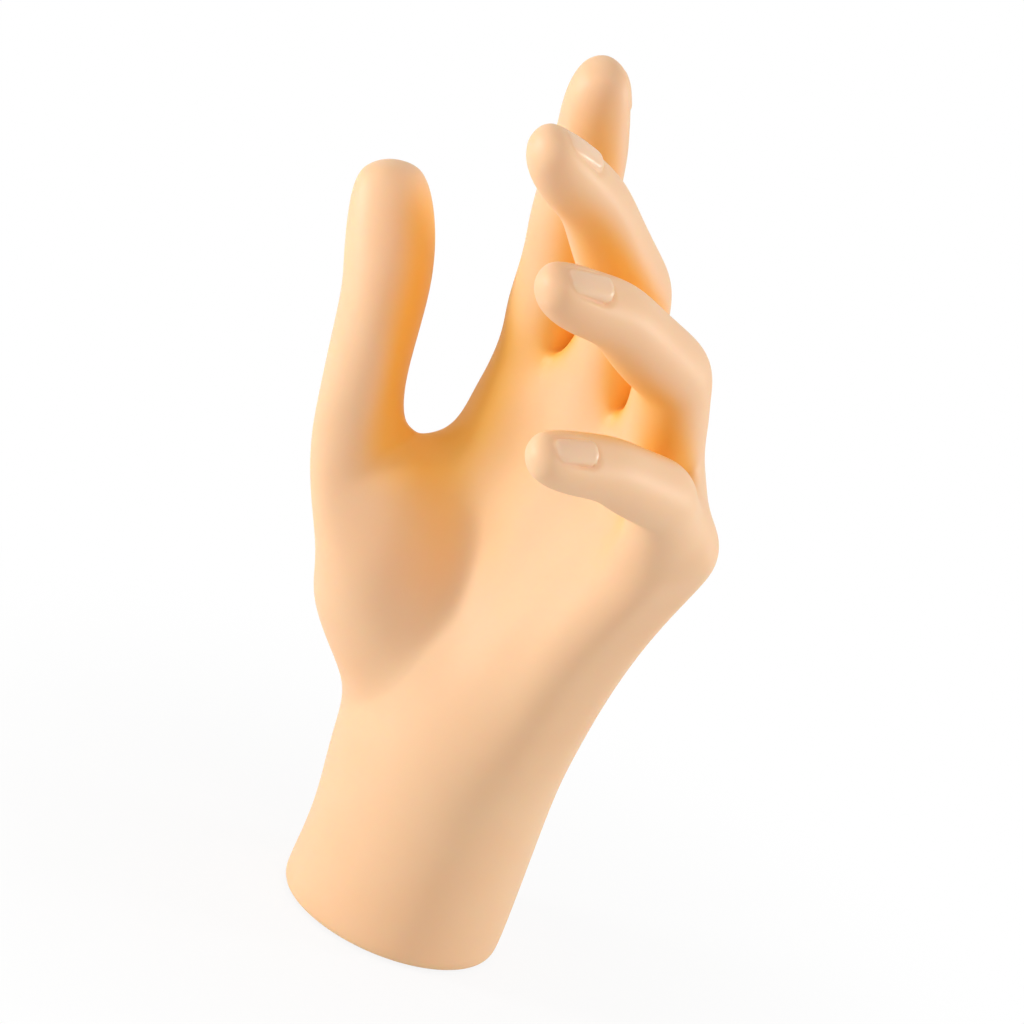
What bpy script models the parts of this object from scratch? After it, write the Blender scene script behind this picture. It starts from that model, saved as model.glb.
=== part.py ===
"""Ring display hand: a hollow moulded left hand on a weighted push-in base plug.

The hand is one quad cage. A tube of thirty columns rises from the wrist oval, spreads
into four finger roots and gives off the thumb through an opening in its side. Each finger
follows a chain of three bones that bend in one plane. All sizes are in millimetres and
all angles in degrees. X points to the little finger, the palm faces -Y and Z is up.
"""
import math

import bmesh
import bpy
from mathutils import Vector

MM = 0.001

# Wrist and base of the hand
WRIST_HALF_WIDTH = 25.1
WRIST_HALF_DEPTH = 23.0
WRIST_SQUARENESS = 2.0
WRIST_HEIGHT = 40.0
WRIST_LEAN = (4.1, -1.1)
WRIST_TAPER = 1.8
RIM_HEIGHT = 0.8
RIM_EDGE = 1.4

# Walls and the plug's seat in the wrist
HAND_WALL = 3.6
END_WALL = 3.0
SEAT_DEPTH = 2.2
SEAT_INSET = 3.2
MOUTH_INSET = 7.6
CAVITY_SHARES = (0.20, 0.45, 0.68)
FIT_GAP = 0.3

# Palm thickness at the knuckle row, measured from the knuckle centres
KNUCKLE_BACK = 10.5
KNUCKLE_PALM = 14.0
CREASE_SHARE = 0.24
CREASE_BACK = 9.6
CREASE_PALM = 12.2
ROOT_SHARE = 0.45
ROOT_BACK = 9.0
ROOT_PALM = 9.5
WEB_DROP = 3.0

# Soft mounds of the palm: centre, reach, push
PALM_SHARES = (0.13, 0.38, 0.62, 0.83)
PALM_EDGE = 0.94
OUTER_EDGE = 0.66
THUMB_SIDE_SHARE = 0.76
THENAR_CENTRE = (-22.0, -22.0, 56.0)
THENAR_REACH = 20.0
THENAR_PUSH = (-8.8, -9.5, 0.0)
MOUND_CENTRE = (-4.0, -29.0, 71.0)
MOUND_REACH = 15.0
MOUND_PUSH = (7.0, -6.0, 0.0)
MOUND_SLIDES = (2.6, 2.7, 1.4, 0.0)
MOUND_SPREADS = (1.8, 4.0)
HEEL_CENTRE = (38.5, -5.0, 79.0)
HEEL_REACH = 24.0
HEEL_PUSH = (-4.0, -1.0, 0.0)
HOLLOW_CENTRE = (6.0, -24.0, 88.0)
HOLLOW_REACH = 15.0
HOLLOW_PUSH = (0.0, 5.5, 0.0)
WEB_CENTRE = (-15.0, -27.0, 98.0)
WEB_REACH = 9.0
WEB_PUSH = (-1.0, 0.0, 10.0)
WEB_SAG = 1.2

# Fingers: knuckle centre, lean to the little-finger side, bends, bone lengths
# and half widths at the ten stations along the finger
INDEX_KNUCKLE = (-2.7, -9.5, 116.6)
INDEX_LEAN = 10.8
INDEX_BENDS = (15.7, -0.5, 3.7)
INDEX_BONES = (38.9, 24.8, 19.8)
INDEX_WIDTHS = (8.5, 8.1, 8.2, 8.3, 8.0, 7.5, 7.0, 6.6, 5.9, 4.4)

MIDDLE_KNUCKLE = (16.1, -4.0, 120.2)
MIDDLE_LEAN = 16.4
MIDDLE_BENDS = (24.5, 21.9, 10.8)
MIDDLE_BONES = (40.2, 29.4, 24.5)
MIDDLE_WIDTHS = (8.7, 8.3, 8.3, 8.0, 7.5, 7.1, 6.8, 6.5, 5.9, 4.5)

RING_KNUCKLE = (32.5, -1.2, 115.3)
RING_LEAN = 20.0
RING_BENDS = (28.6, 30.0, 14.3)
RING_BONES = (37.7, 26.8, 23.1)
RING_WIDTHS = (8.2, 7.8, 7.8, 7.6, 7.2, 6.8, 6.5, 6.2, 5.6, 4.3)

LITTLE_KNUCKLE = (45.0, -3.7, 108.1)
LITTLE_LEAN = 29.7
LITTLE_BENDS = (42.0, 25.1, 12.8)
LITTLE_BONES = (28.5, 20.0, 21.3)
LITTLE_WIDTHS = (7.4, 7.1, 7.1, 7.0, 6.7, 6.3, 6.1, 5.8, 5.2, 4.0)

# Thumb: its three joints, tip and half widths
THUMB_ROOT = (-9.7, -14.3, 55.8)
THUMB_KNUCKLE = (-17.1, -37.3, 98.8)
THUMB_JOINT = (-18.2, -39.7, 132.3)
THUMB_TIP = (-28.7, -41.9, 156.0)
THUMB_TURN = 0.0
THUMB_WIDTHS = (10.8, 9.4, 8.9, 9.0, 9.1, 9.4, 9.1, 8.1, 6.1)

# Section of a finger: depth of its back and of its pad as shares of the half width
STATIONS = ((0, 0.62), (0, 0.82), (1, 0.0), (1, 0.22), (1, 0.62),
            (2, 0.0), (2, 0.30), (2, 0.55), (2, 0.79), (2, 0.93))
BACK_SHARE = (0.98, 0.95, 1.00, 0.95, 0.90, 0.92, 0.84, 0.80, 0.76, 0.70)
PAD_SHARE = (1.02, 0.97, 0.94, 1.02, 1.06, 0.98, 1.08, 1.12, 1.06, 0.94)
THUMB_STATIONS = ((0, 0.74), (1, 0.06), (1, 0.34), (1, 0.70),
                  (2, 0.0), (2, 0.26), (2, 0.54), (2, 0.80), (2, 0.94))
THUMB_BACK = (0.80, 0.90, 0.92, 0.92, 0.95, 0.84, 0.76, 0.70, 0.62)
THUMB_PAD = (0.95, 1.00, 0.95, 0.97, 0.95, 1.02, 1.02, 0.97, 0.86)
THUMB_TILTS = (54.0, 44.0, 18.0, 4.0, 0.0, 0.0, 0.0, 0.0, 0.0)

# Moulded nails
NAIL_EDGE = 0.40
NAIL_STEP = 0.28
NAIL_RISE = 0.85

# Ring of a limb: twelve columns, and the factor that undoes the smoothing's shrink
LIMB_COLUMNS = 12
LIMB_GROW = 6.0 / (4.0 + 2.0 * math.cos(math.radians(30.0)))
TUBE_COLUMNS = 30

# Base plug, weight, screws and pad
PLUG_HEIGHT = 18.0
PLUG_WALL = 1.8
PLUG_FLOOR = 2.2
PLUG_CHAMFER = 0.5
PLUG_LEAD = 0.8
BOSS_OFFSET = 9.0
BOSS_RADIUS = 3.4
PILOT_RADIUS = 1.4
BOSS_ROOT = 0.8
PILOT_SPARE = 1.0
WEIGHT_THICK = 11.0
WEIGHT_CHAMFER = 0.6
SCREW_RADIUS = 1.1
SCREW_LENGTH = 7.0
SCREW_HEAD_RADIUS = 5.0
SCREW_HEAD_HEIGHT = 2.0
SCREW_FLANGE = 0.6
SCREW_CROWN_RADIUS = 3.4
SCREW_CROWN_ROUND = 0.5
SCREW_POINT = 1.4
SCREW_SLOT_WIDTH = 1.0
SCREW_SLOT_LENGTH = 4.6
SCREW_SLOT_DEPTH = 1.1
PAD_THICK = 1.0
PAD_INSET = 4.6
PAD_CHAMFER = 0.3
OVAL_SEGMENTS = 48
ROUND_SEGMENTS = 24

# Heights that follow from the sizes above
SEAT_HEIGHT = RIM_HEIGHT + SEAT_DEPTH
CAVITY_FLOOR = SEAT_HEIGHT + END_WALL
PLUG_BOTTOM = PAD_THICK + FIT_GAP
FLANGE_TOP = SEAT_HEIGHT - FIT_GAP
CUP_FLOOR = PLUG_BOTTOM + PLUG_FLOOR
WEIGHT_BOTTOM = CUP_FLOOR + FIT_GAP
WEIGHT_TOP = WEIGHT_BOTTOM + WEIGHT_THICK

HAND_SMOOTHING = 1


def clear_objects():
    for thing in list(bpy.data.objects):
        bpy.data.objects.remove(thing, do_unlink=True)


def make_material(name, colour, roughness, metallic=0.0):
    material = bpy.data.materials.new(name)
    material.use_nodes = True
    shader = material.node_tree.nodes["Principled BSDF"]
    shader.inputs["Base Color"].default_value = (*colour, 1.0)
    shader.inputs["Roughness"].default_value = roughness
    shader.inputs["Metallic"].default_value = metallic
    return material


def add_object(name, bm, material=None):
    """Turn a millimetre bmesh into a named object in metres."""
    bmesh.ops.recalc_face_normals(bm, faces=bm.faces)
    bmesh.ops.scale(bm, vec=(MM, MM, MM), verts=bm.verts)
    mesh = bpy.data.meshes.new(name)
    bm.to_mesh(mesh)
    bm.free()
    thing = bpy.data.objects.new(name, mesh)
    bpy.context.scene.collection.objects.link(thing)
    if material:
        mesh.materials.append(material)
    return thing


def mark_cutter(thing):
    thing.hide_render = True
    thing.display_type = "WIRE"
    return thing


def add_boolean(thing, cutter, operation):
    modifier = thing.modifiers.new(cutter.name, "BOOLEAN")
    modifier.operation = operation
    modifier.solver = "EXACT"
    modifier.object = mark_cutter(cutter)


def oval_point(angle, inset=0.0):
    """Point of the wrist outline at an angle, moved in by an inset."""
    half_width = WRIST_HALF_WIDTH - inset
    half_depth = WRIST_HALF_DEPTH - inset
    power = 2.0 / WRIST_SQUARENESS
    c = math.cos(angle)
    s = math.sin(angle)
    x = math.copysign(abs(c) ** power, c) * half_width
    y = math.copysign(abs(s) ** power, s) * half_depth
    return Vector((x, y, 0.0))


def oval_ring(count, inset, height, start=0.0):
    ring = []
    for k in range(count):
        angle = math.radians(start + 360.0 * k / count)
        ring.append(oval_point(angle, inset) + Vector((0.0, 0.0, height)))
    return ring


def add_ring(bm, points):
    return [bm.verts.new(p) for p in points]


def bridge(bm, low, high):
    """Join two rings of the same count with quads."""
    count = len(low)
    for k in range(count):
        n = (k + 1) % count
        bm.faces.new((low[k], low[n], high[n], high[k]))


def loft(bm, rings):
    """Closed body through a list of point rings."""
    made = [add_ring(bm, ring) for ring in rings]
    for low, high in zip(made, made[1:]):
        bridge(bm, low, high)
    bm.faces.new(list(reversed(made[0])))
    bm.faces.new(made[-1])
    return made


class Chain:
    """A finger's bones as points, with the side direction of each finger."""

    def __init__(self, points, side):
        self.points = points
        self.side = side.normalized()
        pairs = zip(points, points[1:])
        self.ways = [(b - a).normalized() for a, b in pairs]

    def place(self, bone, share):
        start = self.points[bone]
        return start.lerp(self.points[bone + 1], share)

    def way(self, bone, share):
        """Direction of the finger, halved between two bones at a joint."""
        if share == 0.0 and bone > 0:
            return (self.ways[bone - 1] + self.ways[bone]).normalized()
        return self.ways[bone]

    def frame(self, bone, share, tilt=0.0):
        """Centre, side and back directions of a section, its pad edge tilted up."""
        way = self.way(bone, share)
        side = (self.side - way * self.side.dot(way)).normalized()
        rise = way.cross(side)
        tilt = math.radians(tilt)
        rise = rise * math.cos(tilt) - way * math.sin(tilt)
        return self.place(bone, share), side, rise

    def section(self, bone, share, half_width, back, pad, tilt=0.0):
        """Twelve points around the finger, from the pad's thumb side on."""
        centre, side, rise = self.frame(bone, share, tilt)
        ring = []
        for k in range(LIMB_COLUMNS):
            angle = math.radians(225.0 + 30.0 * k)
            up = math.sin(angle)
            depth = back if up > 0.0 else pad
            offset = side * (math.cos(angle) * half_width) + rise * (up * depth)
            ring.append(centre + offset * LIMB_GROW)
        return ring


def slab_section(chain, share, half_width, depths, edges, thumb_share):
    """Flat twelve-point section of the palm across one finger's ray."""
    centre, side, rise = chain.frame(0, share)
    back, palm = depths
    near, far = edges
    wide = 1.05 * half_width
    inner = thumb_share * half_width
    ring = [centre - side * inner - rise * (near * palm)]
    ring.append(centre - side * (0.34 * half_width) - rise * palm)
    ring.append(centre + side * (0.34 * half_width) - rise * palm)
    ring.append(centre + side * half_width - rise * (far * palm))
    ring.append(centre + side * wide - rise * (0.28 * palm))
    ring.append(centre + side * wide + rise * (0.28 * back))
    ring.append(centre + side * half_width + rise * (far * back))
    ring.append(centre + side * (0.34 * half_width) + rise * back)
    ring.append(centre - side * (0.34 * half_width) + rise * back)
    ring.append(centre - side * inner + rise * (near * back))
    ring.append(centre - side * (1.05 * inner) + rise * (0.28 * back))
    ring.append(centre - side * (1.05 * inner) - rise * (0.28 * palm))
    return ring


def finger_chain(knuckle, lean, bends, bones):
    lean = math.radians(lean)
    forward = Vector((math.sin(lean), 0.0, math.cos(lean)))
    palmward = Vector((0.0, -1.0, 0.0))
    points = [Vector(knuckle)]
    bend = 0.0
    for turn, length in zip(bends, bones):
        bend += math.radians(turn)
        way = forward * math.cos(bend) + palmward * math.sin(bend)
        points.append(points[-1] + way * length)
    side = Vector((math.cos(lean), 0.0, -math.sin(lean)))
    return Chain(points, side)


def thumb_chain():
    points = [Vector(p) for p in (THUMB_ROOT, THUMB_KNUCKLE, THUMB_JOINT, THUMB_TIP)]
    turn = math.radians(THUMB_TURN)
    side = Vector((math.sin(turn), math.cos(turn), 0.0))
    return Chain(points, side)


def finger_table():
    """The four fingers from the index to the little one."""
    return (
        (finger_chain(INDEX_KNUCKLE, INDEX_LEAN, INDEX_BENDS, INDEX_BONES), INDEX_WIDTHS),
        (finger_chain(MIDDLE_KNUCKLE, MIDDLE_LEAN, MIDDLE_BENDS, MIDDLE_BONES), MIDDLE_WIDTHS),
        (finger_chain(RING_KNUCKLE, RING_LEAN, RING_BENDS, RING_BONES), RING_WIDTHS),
        (finger_chain(LITTLE_KNUCKLE, LITTLE_LEAN, LITTLE_BENDS, LITTLE_BONES), LITTLE_WIDTHS),
    )


def row_of_sections(sections):
    """Thirty columns around four neighbouring twelve-point sections."""
    row = [None] * TUBE_COLUMNS
    for f, ring in enumerate(sections):
        for k in range(4):
            blend_in(row, 3 * f + k, ring[k])
            blend_in(row, 27 - 3 * f - k, ring[9 - k])
    row[28] = sections[0][10]
    row[29] = sections[0][11]
    row[13] = sections[3][4]
    row[14] = sections[3][5]
    return row


def blend_in(row, column, point):
    """Neighbouring fingers share a corner half way between them."""
    if row[column] is None:
        row[column] = point.copy()
    else:
        row[column] = (row[column] + point) * 0.5


def spread(places):
    """Half the distance to the neighbours, for each finger's own width in a row."""
    steps = [(b - a).length for a, b in zip(places, places[1:])]
    left = [steps[0]] + steps
    right = steps + [steps[-1]]
    return [(a + b) * 0.25 for a, b in zip(left, right)]


def slab_row(fingers, share, back, palm):
    """Row of the palm across the four fingers at a share of their first bones."""
    chains = [chain for chain, _ in fingers]
    widths = spread([chain.place(0, share) for chain in chains])
    rings = []
    for f, (chain, width) in enumerate(zip(chains, widths)):
        near = OUTER_EDGE if f == 0 else PALM_EDGE
        far = OUTER_EDGE if f == len(chains) - 1 else PALM_EDGE
        thumb_share = THUMB_SIDE_SHARE if f == 0 else 1.0
        edges = (near, far)
        rings.append(slab_section(chain, share, width, (back, palm), edges, thumb_share))
    return row_of_sections(rings)


def root_sections(fingers):
    rings = []
    for chain, widths in fingers:
        width = widths[0]
        rings.append(chain.section(0, ROOT_SHARE, width, ROOT_BACK, ROOT_PALM))
    return rings


def push(point, centre, reach, amount):
    distance = (point - Vector(centre)).length / reach
    return point + Vector(amount) * math.exp(-distance * distance)


def shape_palm(point):
    point = push(point, THENAR_CENTRE, THENAR_REACH, THENAR_PUSH)
    point = push(point, MOUND_CENTRE, MOUND_REACH, MOUND_PUSH)
    point = push(point, HEEL_CENTRE, HEEL_REACH, HEEL_PUSH)
    point = push(point, HOLLOW_CENTRE, HOLLOW_REACH, HOLLOW_PUSH)
    point = push(point, WEB_CENTRE, WEB_REACH, WEB_PUSH)
    return point


def slide_columns(row, amount):
    """Move the thumb's columns of a row along the row towards the little finger."""
    count = len(row)
    slid = []
    for c in range(count):
        away = (c - 2 + count // 2) % count - count // 2
        reach = MOUND_SPREADS[0] if away < 0 else MOUND_SPREADS[1]
        place = c + amount * math.exp(-(away / reach) ** 2)
        low = math.floor(place)
        slid.append(row[low % count].lerp(row[(low + 1) % count], place - low))
    return slid


def wrist_row(height, inset=0.0):
    row = oval_ring(TUBE_COLUMNS, inset, height, 198.0)
    share = (max(0.0, height - RIM_HEIGHT - RIM_EDGE) / WRIST_HEIGHT) ** 0.7
    shift = Vector((WRIST_LEAN[0] * share, WRIST_LEAN[1] * share, 0.0))
    return [p + shift for p in row]


def palm_rows(fingers):
    """Rows of the tube from the rim to the row just under the finger roots."""
    wrist = wrist_row(WRIST_HEIGHT, WRIST_TAPER)
    knuckles = slab_row(fingers, 0.0, KNUCKLE_BACK, KNUCKLE_PALM)
    crease = slab_row(fingers, CREASE_SHARE, CREASE_BACK, CREASE_PALM)
    rows = [
        wrist_row(RIM_HEIGHT, RIM_EDGE * 0.5),
        wrist_row(RIM_HEIGHT + RIM_EDGE * 0.6),
        wrist_row(0.5 * WRIST_HEIGHT, 0.6 * WRIST_TAPER),
        [shape_palm(p) for p in wrist],
    ]
    for share, slide in zip(PALM_SHARES, MOUND_SLIDES):
        row = [a.lerp(b, share) for a, b in zip(wrist, knuckles)]
        rows.append([shape_palm(p) for p in slide_columns(row, slide)])
    rows.append(knuckles)
    rows.append(crease)
    return rows


def add_roots(bm, fingers):
    """Finger root rings that share corners and web points with their neighbours."""
    rings = root_sections(fingers)
    row = add_ring(bm, row_of_sections(rings))
    webs = []
    for a, b, fa, fb in zip(rings, rings[1:], fingers, fingers[1:]):
        drop = (fa[0].ways[0] + fb[0].ways[0]).normalized() * WEB_DROP
        low = bm.verts.new((a[4] + b[11]) * 0.5 - drop)
        high = bm.verts.new((a[5] + b[10]) * 0.5 - drop)
        webs.append((low, high))
    loops = []
    for f in range(len(fingers)):
        loops.append(root_loop(row, webs, f))
    return row, loops


def root_loop(row, webs, f):
    near = (row[29], row[28]) if f == 0 else webs[f - 1]
    far = (row[13], row[14]) if f == 3 else webs[f]
    loop = [row[3 * f + k] for k in range(4)]
    loop += [far[0], far[1]]
    loop += [row[27 - 3 * f - k] for k in (3, 2, 1, 0)]
    loop += [near[1], near[0]]
    return loop


def add_cap(bm, ring, chain):
    """Close a finger end with a three by three patch of quads."""
    tip = chain.points[-1]
    centre = sum((v.co for v in ring), Vector()) / len(ring)
    inner = {}
    for k in (0, 3, 6, 9):
        offset = ring[k].co - centre
        inner[k] = bm.verts.new(tip + offset * 0.42)
    bm.faces.new((inner[0], inner[3], inner[6], inner[9]))
    order = (0, 3, 6, 9)
    for i, k in enumerate(order):
        n = order[(i + 1) % 4]
        last = ring[(k - 1) % 12]
        bm.faces.new((ring[k], ring[(k + 1) % 12], inner[k], last))
        bm.faces.new((ring[(k + 1) % 12], ring[(k + 2) % 12], inner[n], inner[k]))


def limb_points(chain, stations, widths, backs, pads, tilts):
    """Point rings of a finger from its first to its last station."""
    rings = []
    for (bone, share), width, back, pad, tilt in zip(stations, widths, backs, pads, tilts):
        rings.append(chain.section(bone, share, width, width * back, width * pad, tilt))
    return rings


def add_limb(bm, loop, chain, point_rings):
    """Grow a finger from its root loop and return its rings."""
    rings = [loop]
    for points in point_rings:
        ring = add_ring(bm, points)
        bridge(bm, rings[-1], ring)
        rings.append(ring)
    add_cap(bm, rings[-1], chain)
    return rings


def nail_faces(bm, rings):
    """Faces on the back of a finger between its cuticle and free edge."""
    bm.verts.index_update()
    found = []
    for low, high in zip(rings[-4:-2], rings[-3:-1]):
        for k in (6, 7, 8):
            corner = {low[k], low[k + 1], high[k], high[k + 1]}
            found += [f for f in low[k].link_faces if set(f.verts) == corner]
    return found


def raise_nail(bm, rings, chain):
    """Lift a nail plate at its cuticle and let it run out at the fingertip."""
    faces = nail_faces(bm, rings)
    bmesh.ops.inset_region(bm, faces=faces, thickness=NAIL_EDGE, use_even_offset=True)
    bmesh.ops.inset_region(bm, faces=faces, thickness=NAIL_STEP, use_even_offset=True)
    way = chain.ways[-1]
    plate = {v for f in faces for v in f.verts}
    along = [v.co.dot(way) for v in plate]
    first, last = min(along), max(along)
    lifts = []
    for vert in plate:
        share = (last - vert.co.dot(way)) / (last - first)
        lifts.append((vert, vert.normal * (NAIL_RISE * share ** 0.5)))
    for vert, lift in lifts:
        vert.co += lift


def thumb_loop(tube):
    """Open a three by three patch of the tube and return its edge, nail side last."""
    cols = (29, 0, 1, 2)
    rows = (4, 5, 6, 7)
    loop = [tube[rows[3]][c] for c in (2, 1, 0, 29)]
    loop += [tube[rows[2]][29], tube[rows[1]][29]]
    loop += [tube[rows[0]][c] for c in cols]
    loop += [tube[rows[1]][2], tube[rows[2]][2]]
    inner = [tube[r][c] for r in (5, 6) for c in (0, 1)]
    return loop, inner


def add_thumb(bm, loop):
    chain = thumb_chain()
    points = limb_points(chain, THUMB_STATIONS, THUMB_WIDTHS, THUMB_BACK, THUMB_PAD, THUMB_TILTS)
    between = [shape_palm(v.co.lerp(p, 0.5)) for v, p in zip(loop, points[0])]
    for point in between[:4]:
        point.z -= WEB_SAG
    points[0] = [shape_palm(p) for p in points[0]]
    points.insert(0, between)
    return add_limb(bm, loop, chain, points), chain


def build_hand(material):
    fingers = finger_table()
    bm = bmesh.new()
    tube = [add_ring(bm, row) for row in palm_rows(fingers)]
    root_row, loops = add_roots(bm, fingers)
    tube.append(root_row)
    for low, high in zip(tube, tube[1:]):
        bridge(bm, low, high)
    base = bm.faces.new(list(reversed(tube[0])))
    limbs = []
    for (chain, widths), loop in zip(fingers, loops):
        points = limb_points(chain, STATIONS, widths, BACK_SHARE, PAD_SHARE, [0.0] * 10)
        limbs.append((add_limb(bm, loop, chain, points), chain))
    loop, inner = thumb_loop(tube)
    bmesh.ops.delete(bm, geom=inner, context="VERTS")
    limbs.append(add_thumb(bm, loop))
    bmesh.ops.recalc_face_normals(bm, faces=bm.faces)
    bm.normal_update()
    for rings, chain in limbs:
        raise_nail(bm, rings, chain)
    crease = bm.edges.layers.float.new("crease_edge")
    for edge in base.edges:
        edge[crease] = 1.0
    hand = add_object("hand_shell", bm, material)
    smooth = hand.modifiers.new("smooth_skin", "SUBSURF")
    smooth.levels = HAND_SMOOTHING
    smooth.render_levels = HAND_SMOOTHING
    return hand


def inset_ring(row, wall):
    """Move each point of a row inwards along the row's own plane."""
    centre = sum(row, Vector()) / len(row)
    normal = Vector()
    for p, q in zip(row, row[1:] + row[:1]):
        normal += (p - centre).cross(q - centre)
    ring = []
    for k, point in enumerate(row):
        along = row[(k + 1) % len(row)] - row[k - 1]
        inward = normal.cross(along).normalized()
        ring.append(point + inward * wall)
    return ring


def build_cavity():
    """Hollow of the wrist and palm, with every second column of the tube."""
    wrist = wrist_row(WRIST_HEIGHT, WRIST_TAPER)
    rows = [wrist_row(CAVITY_FLOOR), wrist_row(0.5 * WRIST_HEIGHT, 0.6 * WRIST_TAPER), wrist]
    knuckles = slab_row(finger_table(), 0.0, KNUCKLE_BACK, KNUCKLE_PALM)
    for share in CAVITY_SHARES:
        row = [a.lerp(b, share) for a, b in zip(wrist, knuckles)]
        rows.append([shape_palm(p) for p in row])
    bm = bmesh.new()
    loft(bm, [inset_ring(row, HAND_WALL)[::2] for row in rows])
    return add_object("cavity_cutter", bm)


def oval_prism(name, inset, low, high):
    bm = bmesh.new()
    loft(bm, [oval_ring(OVAL_SEGMENTS, inset, z) for z in (low, high)])
    return add_object(name, bm)


def hollow_hand(hand):
    """Cut the hollow, the mouth in the end wall and the plug's seat."""
    add_boolean(hand, build_cavity(), "DIFFERENCE")
    mouth = oval_prism("mouth_cutter", MOUTH_INSET, RIM_HEIGHT, CAVITY_FLOOR + 1.0)
    add_boolean(hand, mouth, "DIFFERENCE")
    seat = oval_prism("seat_cutter", SEAT_INSET, RIM_HEIGHT - 1.0, SEAT_HEIGHT)
    add_boolean(hand, seat, "DIFFERENCE")


def circle(x, radius, height):
    ring = []
    for k in range(ROUND_SEGMENTS):
        angle = 2.0 * math.pi * k / ROUND_SEGMENTS
        ring.append(Vector((x + radius * math.cos(angle), radius * math.sin(angle), height)))
    return ring


def round_bar(name, x, radius, low, high):
    bm = bmesh.new()
    loft(bm, [circle(x, radius, z) for z in (low, high)])
    return add_object(name, bm)


def build_plug(material):
    """Flanged cup that pushes into the wrist's mouth, with two screw bosses."""
    flange = SEAT_INSET + FIT_GAP
    neck = MOUTH_INSET + FIT_GAP
    inside = neck + PLUG_WALL
    top = PLUG_BOTTOM + PLUG_HEIGHT
    levels = (
        (flange + PLUG_CHAMFER, PLUG_BOTTOM),
        (flange, PLUG_BOTTOM + PLUG_CHAMFER),
        (flange, FLANGE_TOP),
        (neck, FLANGE_TOP),
        (neck, top - PLUG_LEAD),
        (neck + PLUG_LEAD, top),
        (inside, top),
        (inside, CUP_FLOOR),
    )
    bm = bmesh.new()
    loft(bm, [oval_ring(OVAL_SEGMENTS, inset, z) for inset, z in levels])
    plug = add_object("base_plug", bm, material)
    boss_top = WEIGHT_TOP - FIT_GAP
    for x, label in ((-BOSS_OFFSET, "left"), (BOSS_OFFSET, "right")):
        boss = round_bar("boss_" + label, x, BOSS_RADIUS, CUP_FLOOR - BOSS_ROOT, boss_top)
        add_boolean(plug, boss, "UNION")
        pilot = round_bar("pilot_" + label, x, PILOT_RADIUS,
                          boss_top - SCREW_LENGTH - PILOT_SPARE, boss_top + PILOT_SPARE)
        add_boolean(plug, pilot, "DIFFERENCE")
    return plug


def build_weight(material):
    inset = MOUTH_INSET + FIT_GAP + PLUG_WALL + FIT_GAP
    slim = inset + WEIGHT_CHAMFER
    levels = ((slim, WEIGHT_BOTTOM), (inset, WEIGHT_BOTTOM + WEIGHT_CHAMFER),
              (inset, WEIGHT_TOP - WEIGHT_CHAMFER), (slim, WEIGHT_TOP))
    bm = bmesh.new()
    loft(bm, [oval_ring(OVAL_SEGMENTS, i, z) for i, z in levels])
    weight = add_object("ballast_weight", bm, material)
    for x, label in ((-BOSS_OFFSET, "left"), (BOSS_OFFSET, "right")):
        hole = round_bar("weight_hole_" + label, x, BOSS_RADIUS + FIT_GAP,
                         WEIGHT_BOTTOM - 1.0, WEIGHT_TOP + 1.0)
        add_boolean(weight, hole, "DIFFERENCE")
    return weight


def build_screw(x, label, material):
    """Washer-head screw whose head spans the weight's hole."""
    head = WEIGHT_TOP + FIT_GAP
    crown = head + SCREW_HEAD_HEIGHT
    profile = (
        (0.25 * SCREW_RADIUS, head - SCREW_LENGTH),
        (SCREW_RADIUS, head - SCREW_LENGTH + SCREW_POINT),
        (SCREW_RADIUS, head),
        (SCREW_HEAD_RADIUS, head),
        (SCREW_HEAD_RADIUS, head + SCREW_FLANGE),
        (SCREW_CROWN_RADIUS, head + SCREW_FLANGE),
        (SCREW_CROWN_RADIUS, crown - SCREW_CROWN_ROUND),
        (SCREW_CROWN_RADIUS - SCREW_CROWN_ROUND, crown),
    )
    bm = bmesh.new()
    loft(bm, [circle(x, radius, z) for radius, z in profile])
    screw = add_object("ballast_screw_" + label, bm, material)
    for size, way in (((SCREW_SLOT_LENGTH, SCREW_SLOT_WIDTH), "a"),
                      ((SCREW_SLOT_WIDTH, SCREW_SLOT_LENGTH), "b")):
        add_boolean(screw, slot_cutter(x, size, crown, label + "_" + way), "DIFFERENCE")
    return screw


def slot_cutter(x, size, crown, label):
    long, wide = size
    bm = bmesh.new()
    bmesh.ops.create_cube(bm, size=1.0)
    bmesh.ops.scale(bm, vec=(long, wide, 2.0 * SCREW_SLOT_DEPTH), verts=bm.verts)
    bmesh.ops.translate(bm, vec=(x, 0.0, crown), verts=bm.verts)
    return add_object("slot_" + label, bm)


def build_pad(material):
    levels = ((PAD_INSET + PAD_CHAMFER, 0.0), (PAD_INSET, PAD_CHAMFER), (PAD_INSET, PAD_THICK))
    bm = bmesh.new()
    loft(bm, [oval_ring(OVAL_SEGMENTS, i, z) for i, z in levels])
    return add_object("base_pad", bm, material)


def main():
    clear_objects()
    skin = make_material("soft_vinyl", (0.90, 0.60, 0.38), 0.45)
    cap = make_material("moulded_plug", (0.72, 0.55, 0.40), 0.50)
    iron = make_material("plated_steel", (0.55, 0.55, 0.56), 0.40, 1.0)
    zinc = make_material("zinc_screw", (0.70, 0.70, 0.68), 0.30, 1.0)
    rubber = make_material("rubber_pad", (0.06, 0.06, 0.06), 0.90)
    hand = build_hand(skin)
    hollow_hand(hand)
    build_plug(cap)
    build_weight(iron)
    build_screw(-BOSS_OFFSET, "left", zinc)
    build_screw(BOSS_OFFSET, "right", zinc)
    build_pad(rubber)


main()
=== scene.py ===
"""Ring display hand: the looks of a moulded left hand that stands on its cut wrist.

The hand's skin is one quad cage, smoothed by subdivision. A tube of thirty columns rises
from the wrist oval, spreads into four finger roots and gives off the thumb through an
opening in its side. The plug, weight, screws and pad close the wrist from below. Sizes in
the tables are in millimetres and angles in degrees. X points to the little finger, the
palm faces -Y and Z is up.
"""
import math

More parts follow.
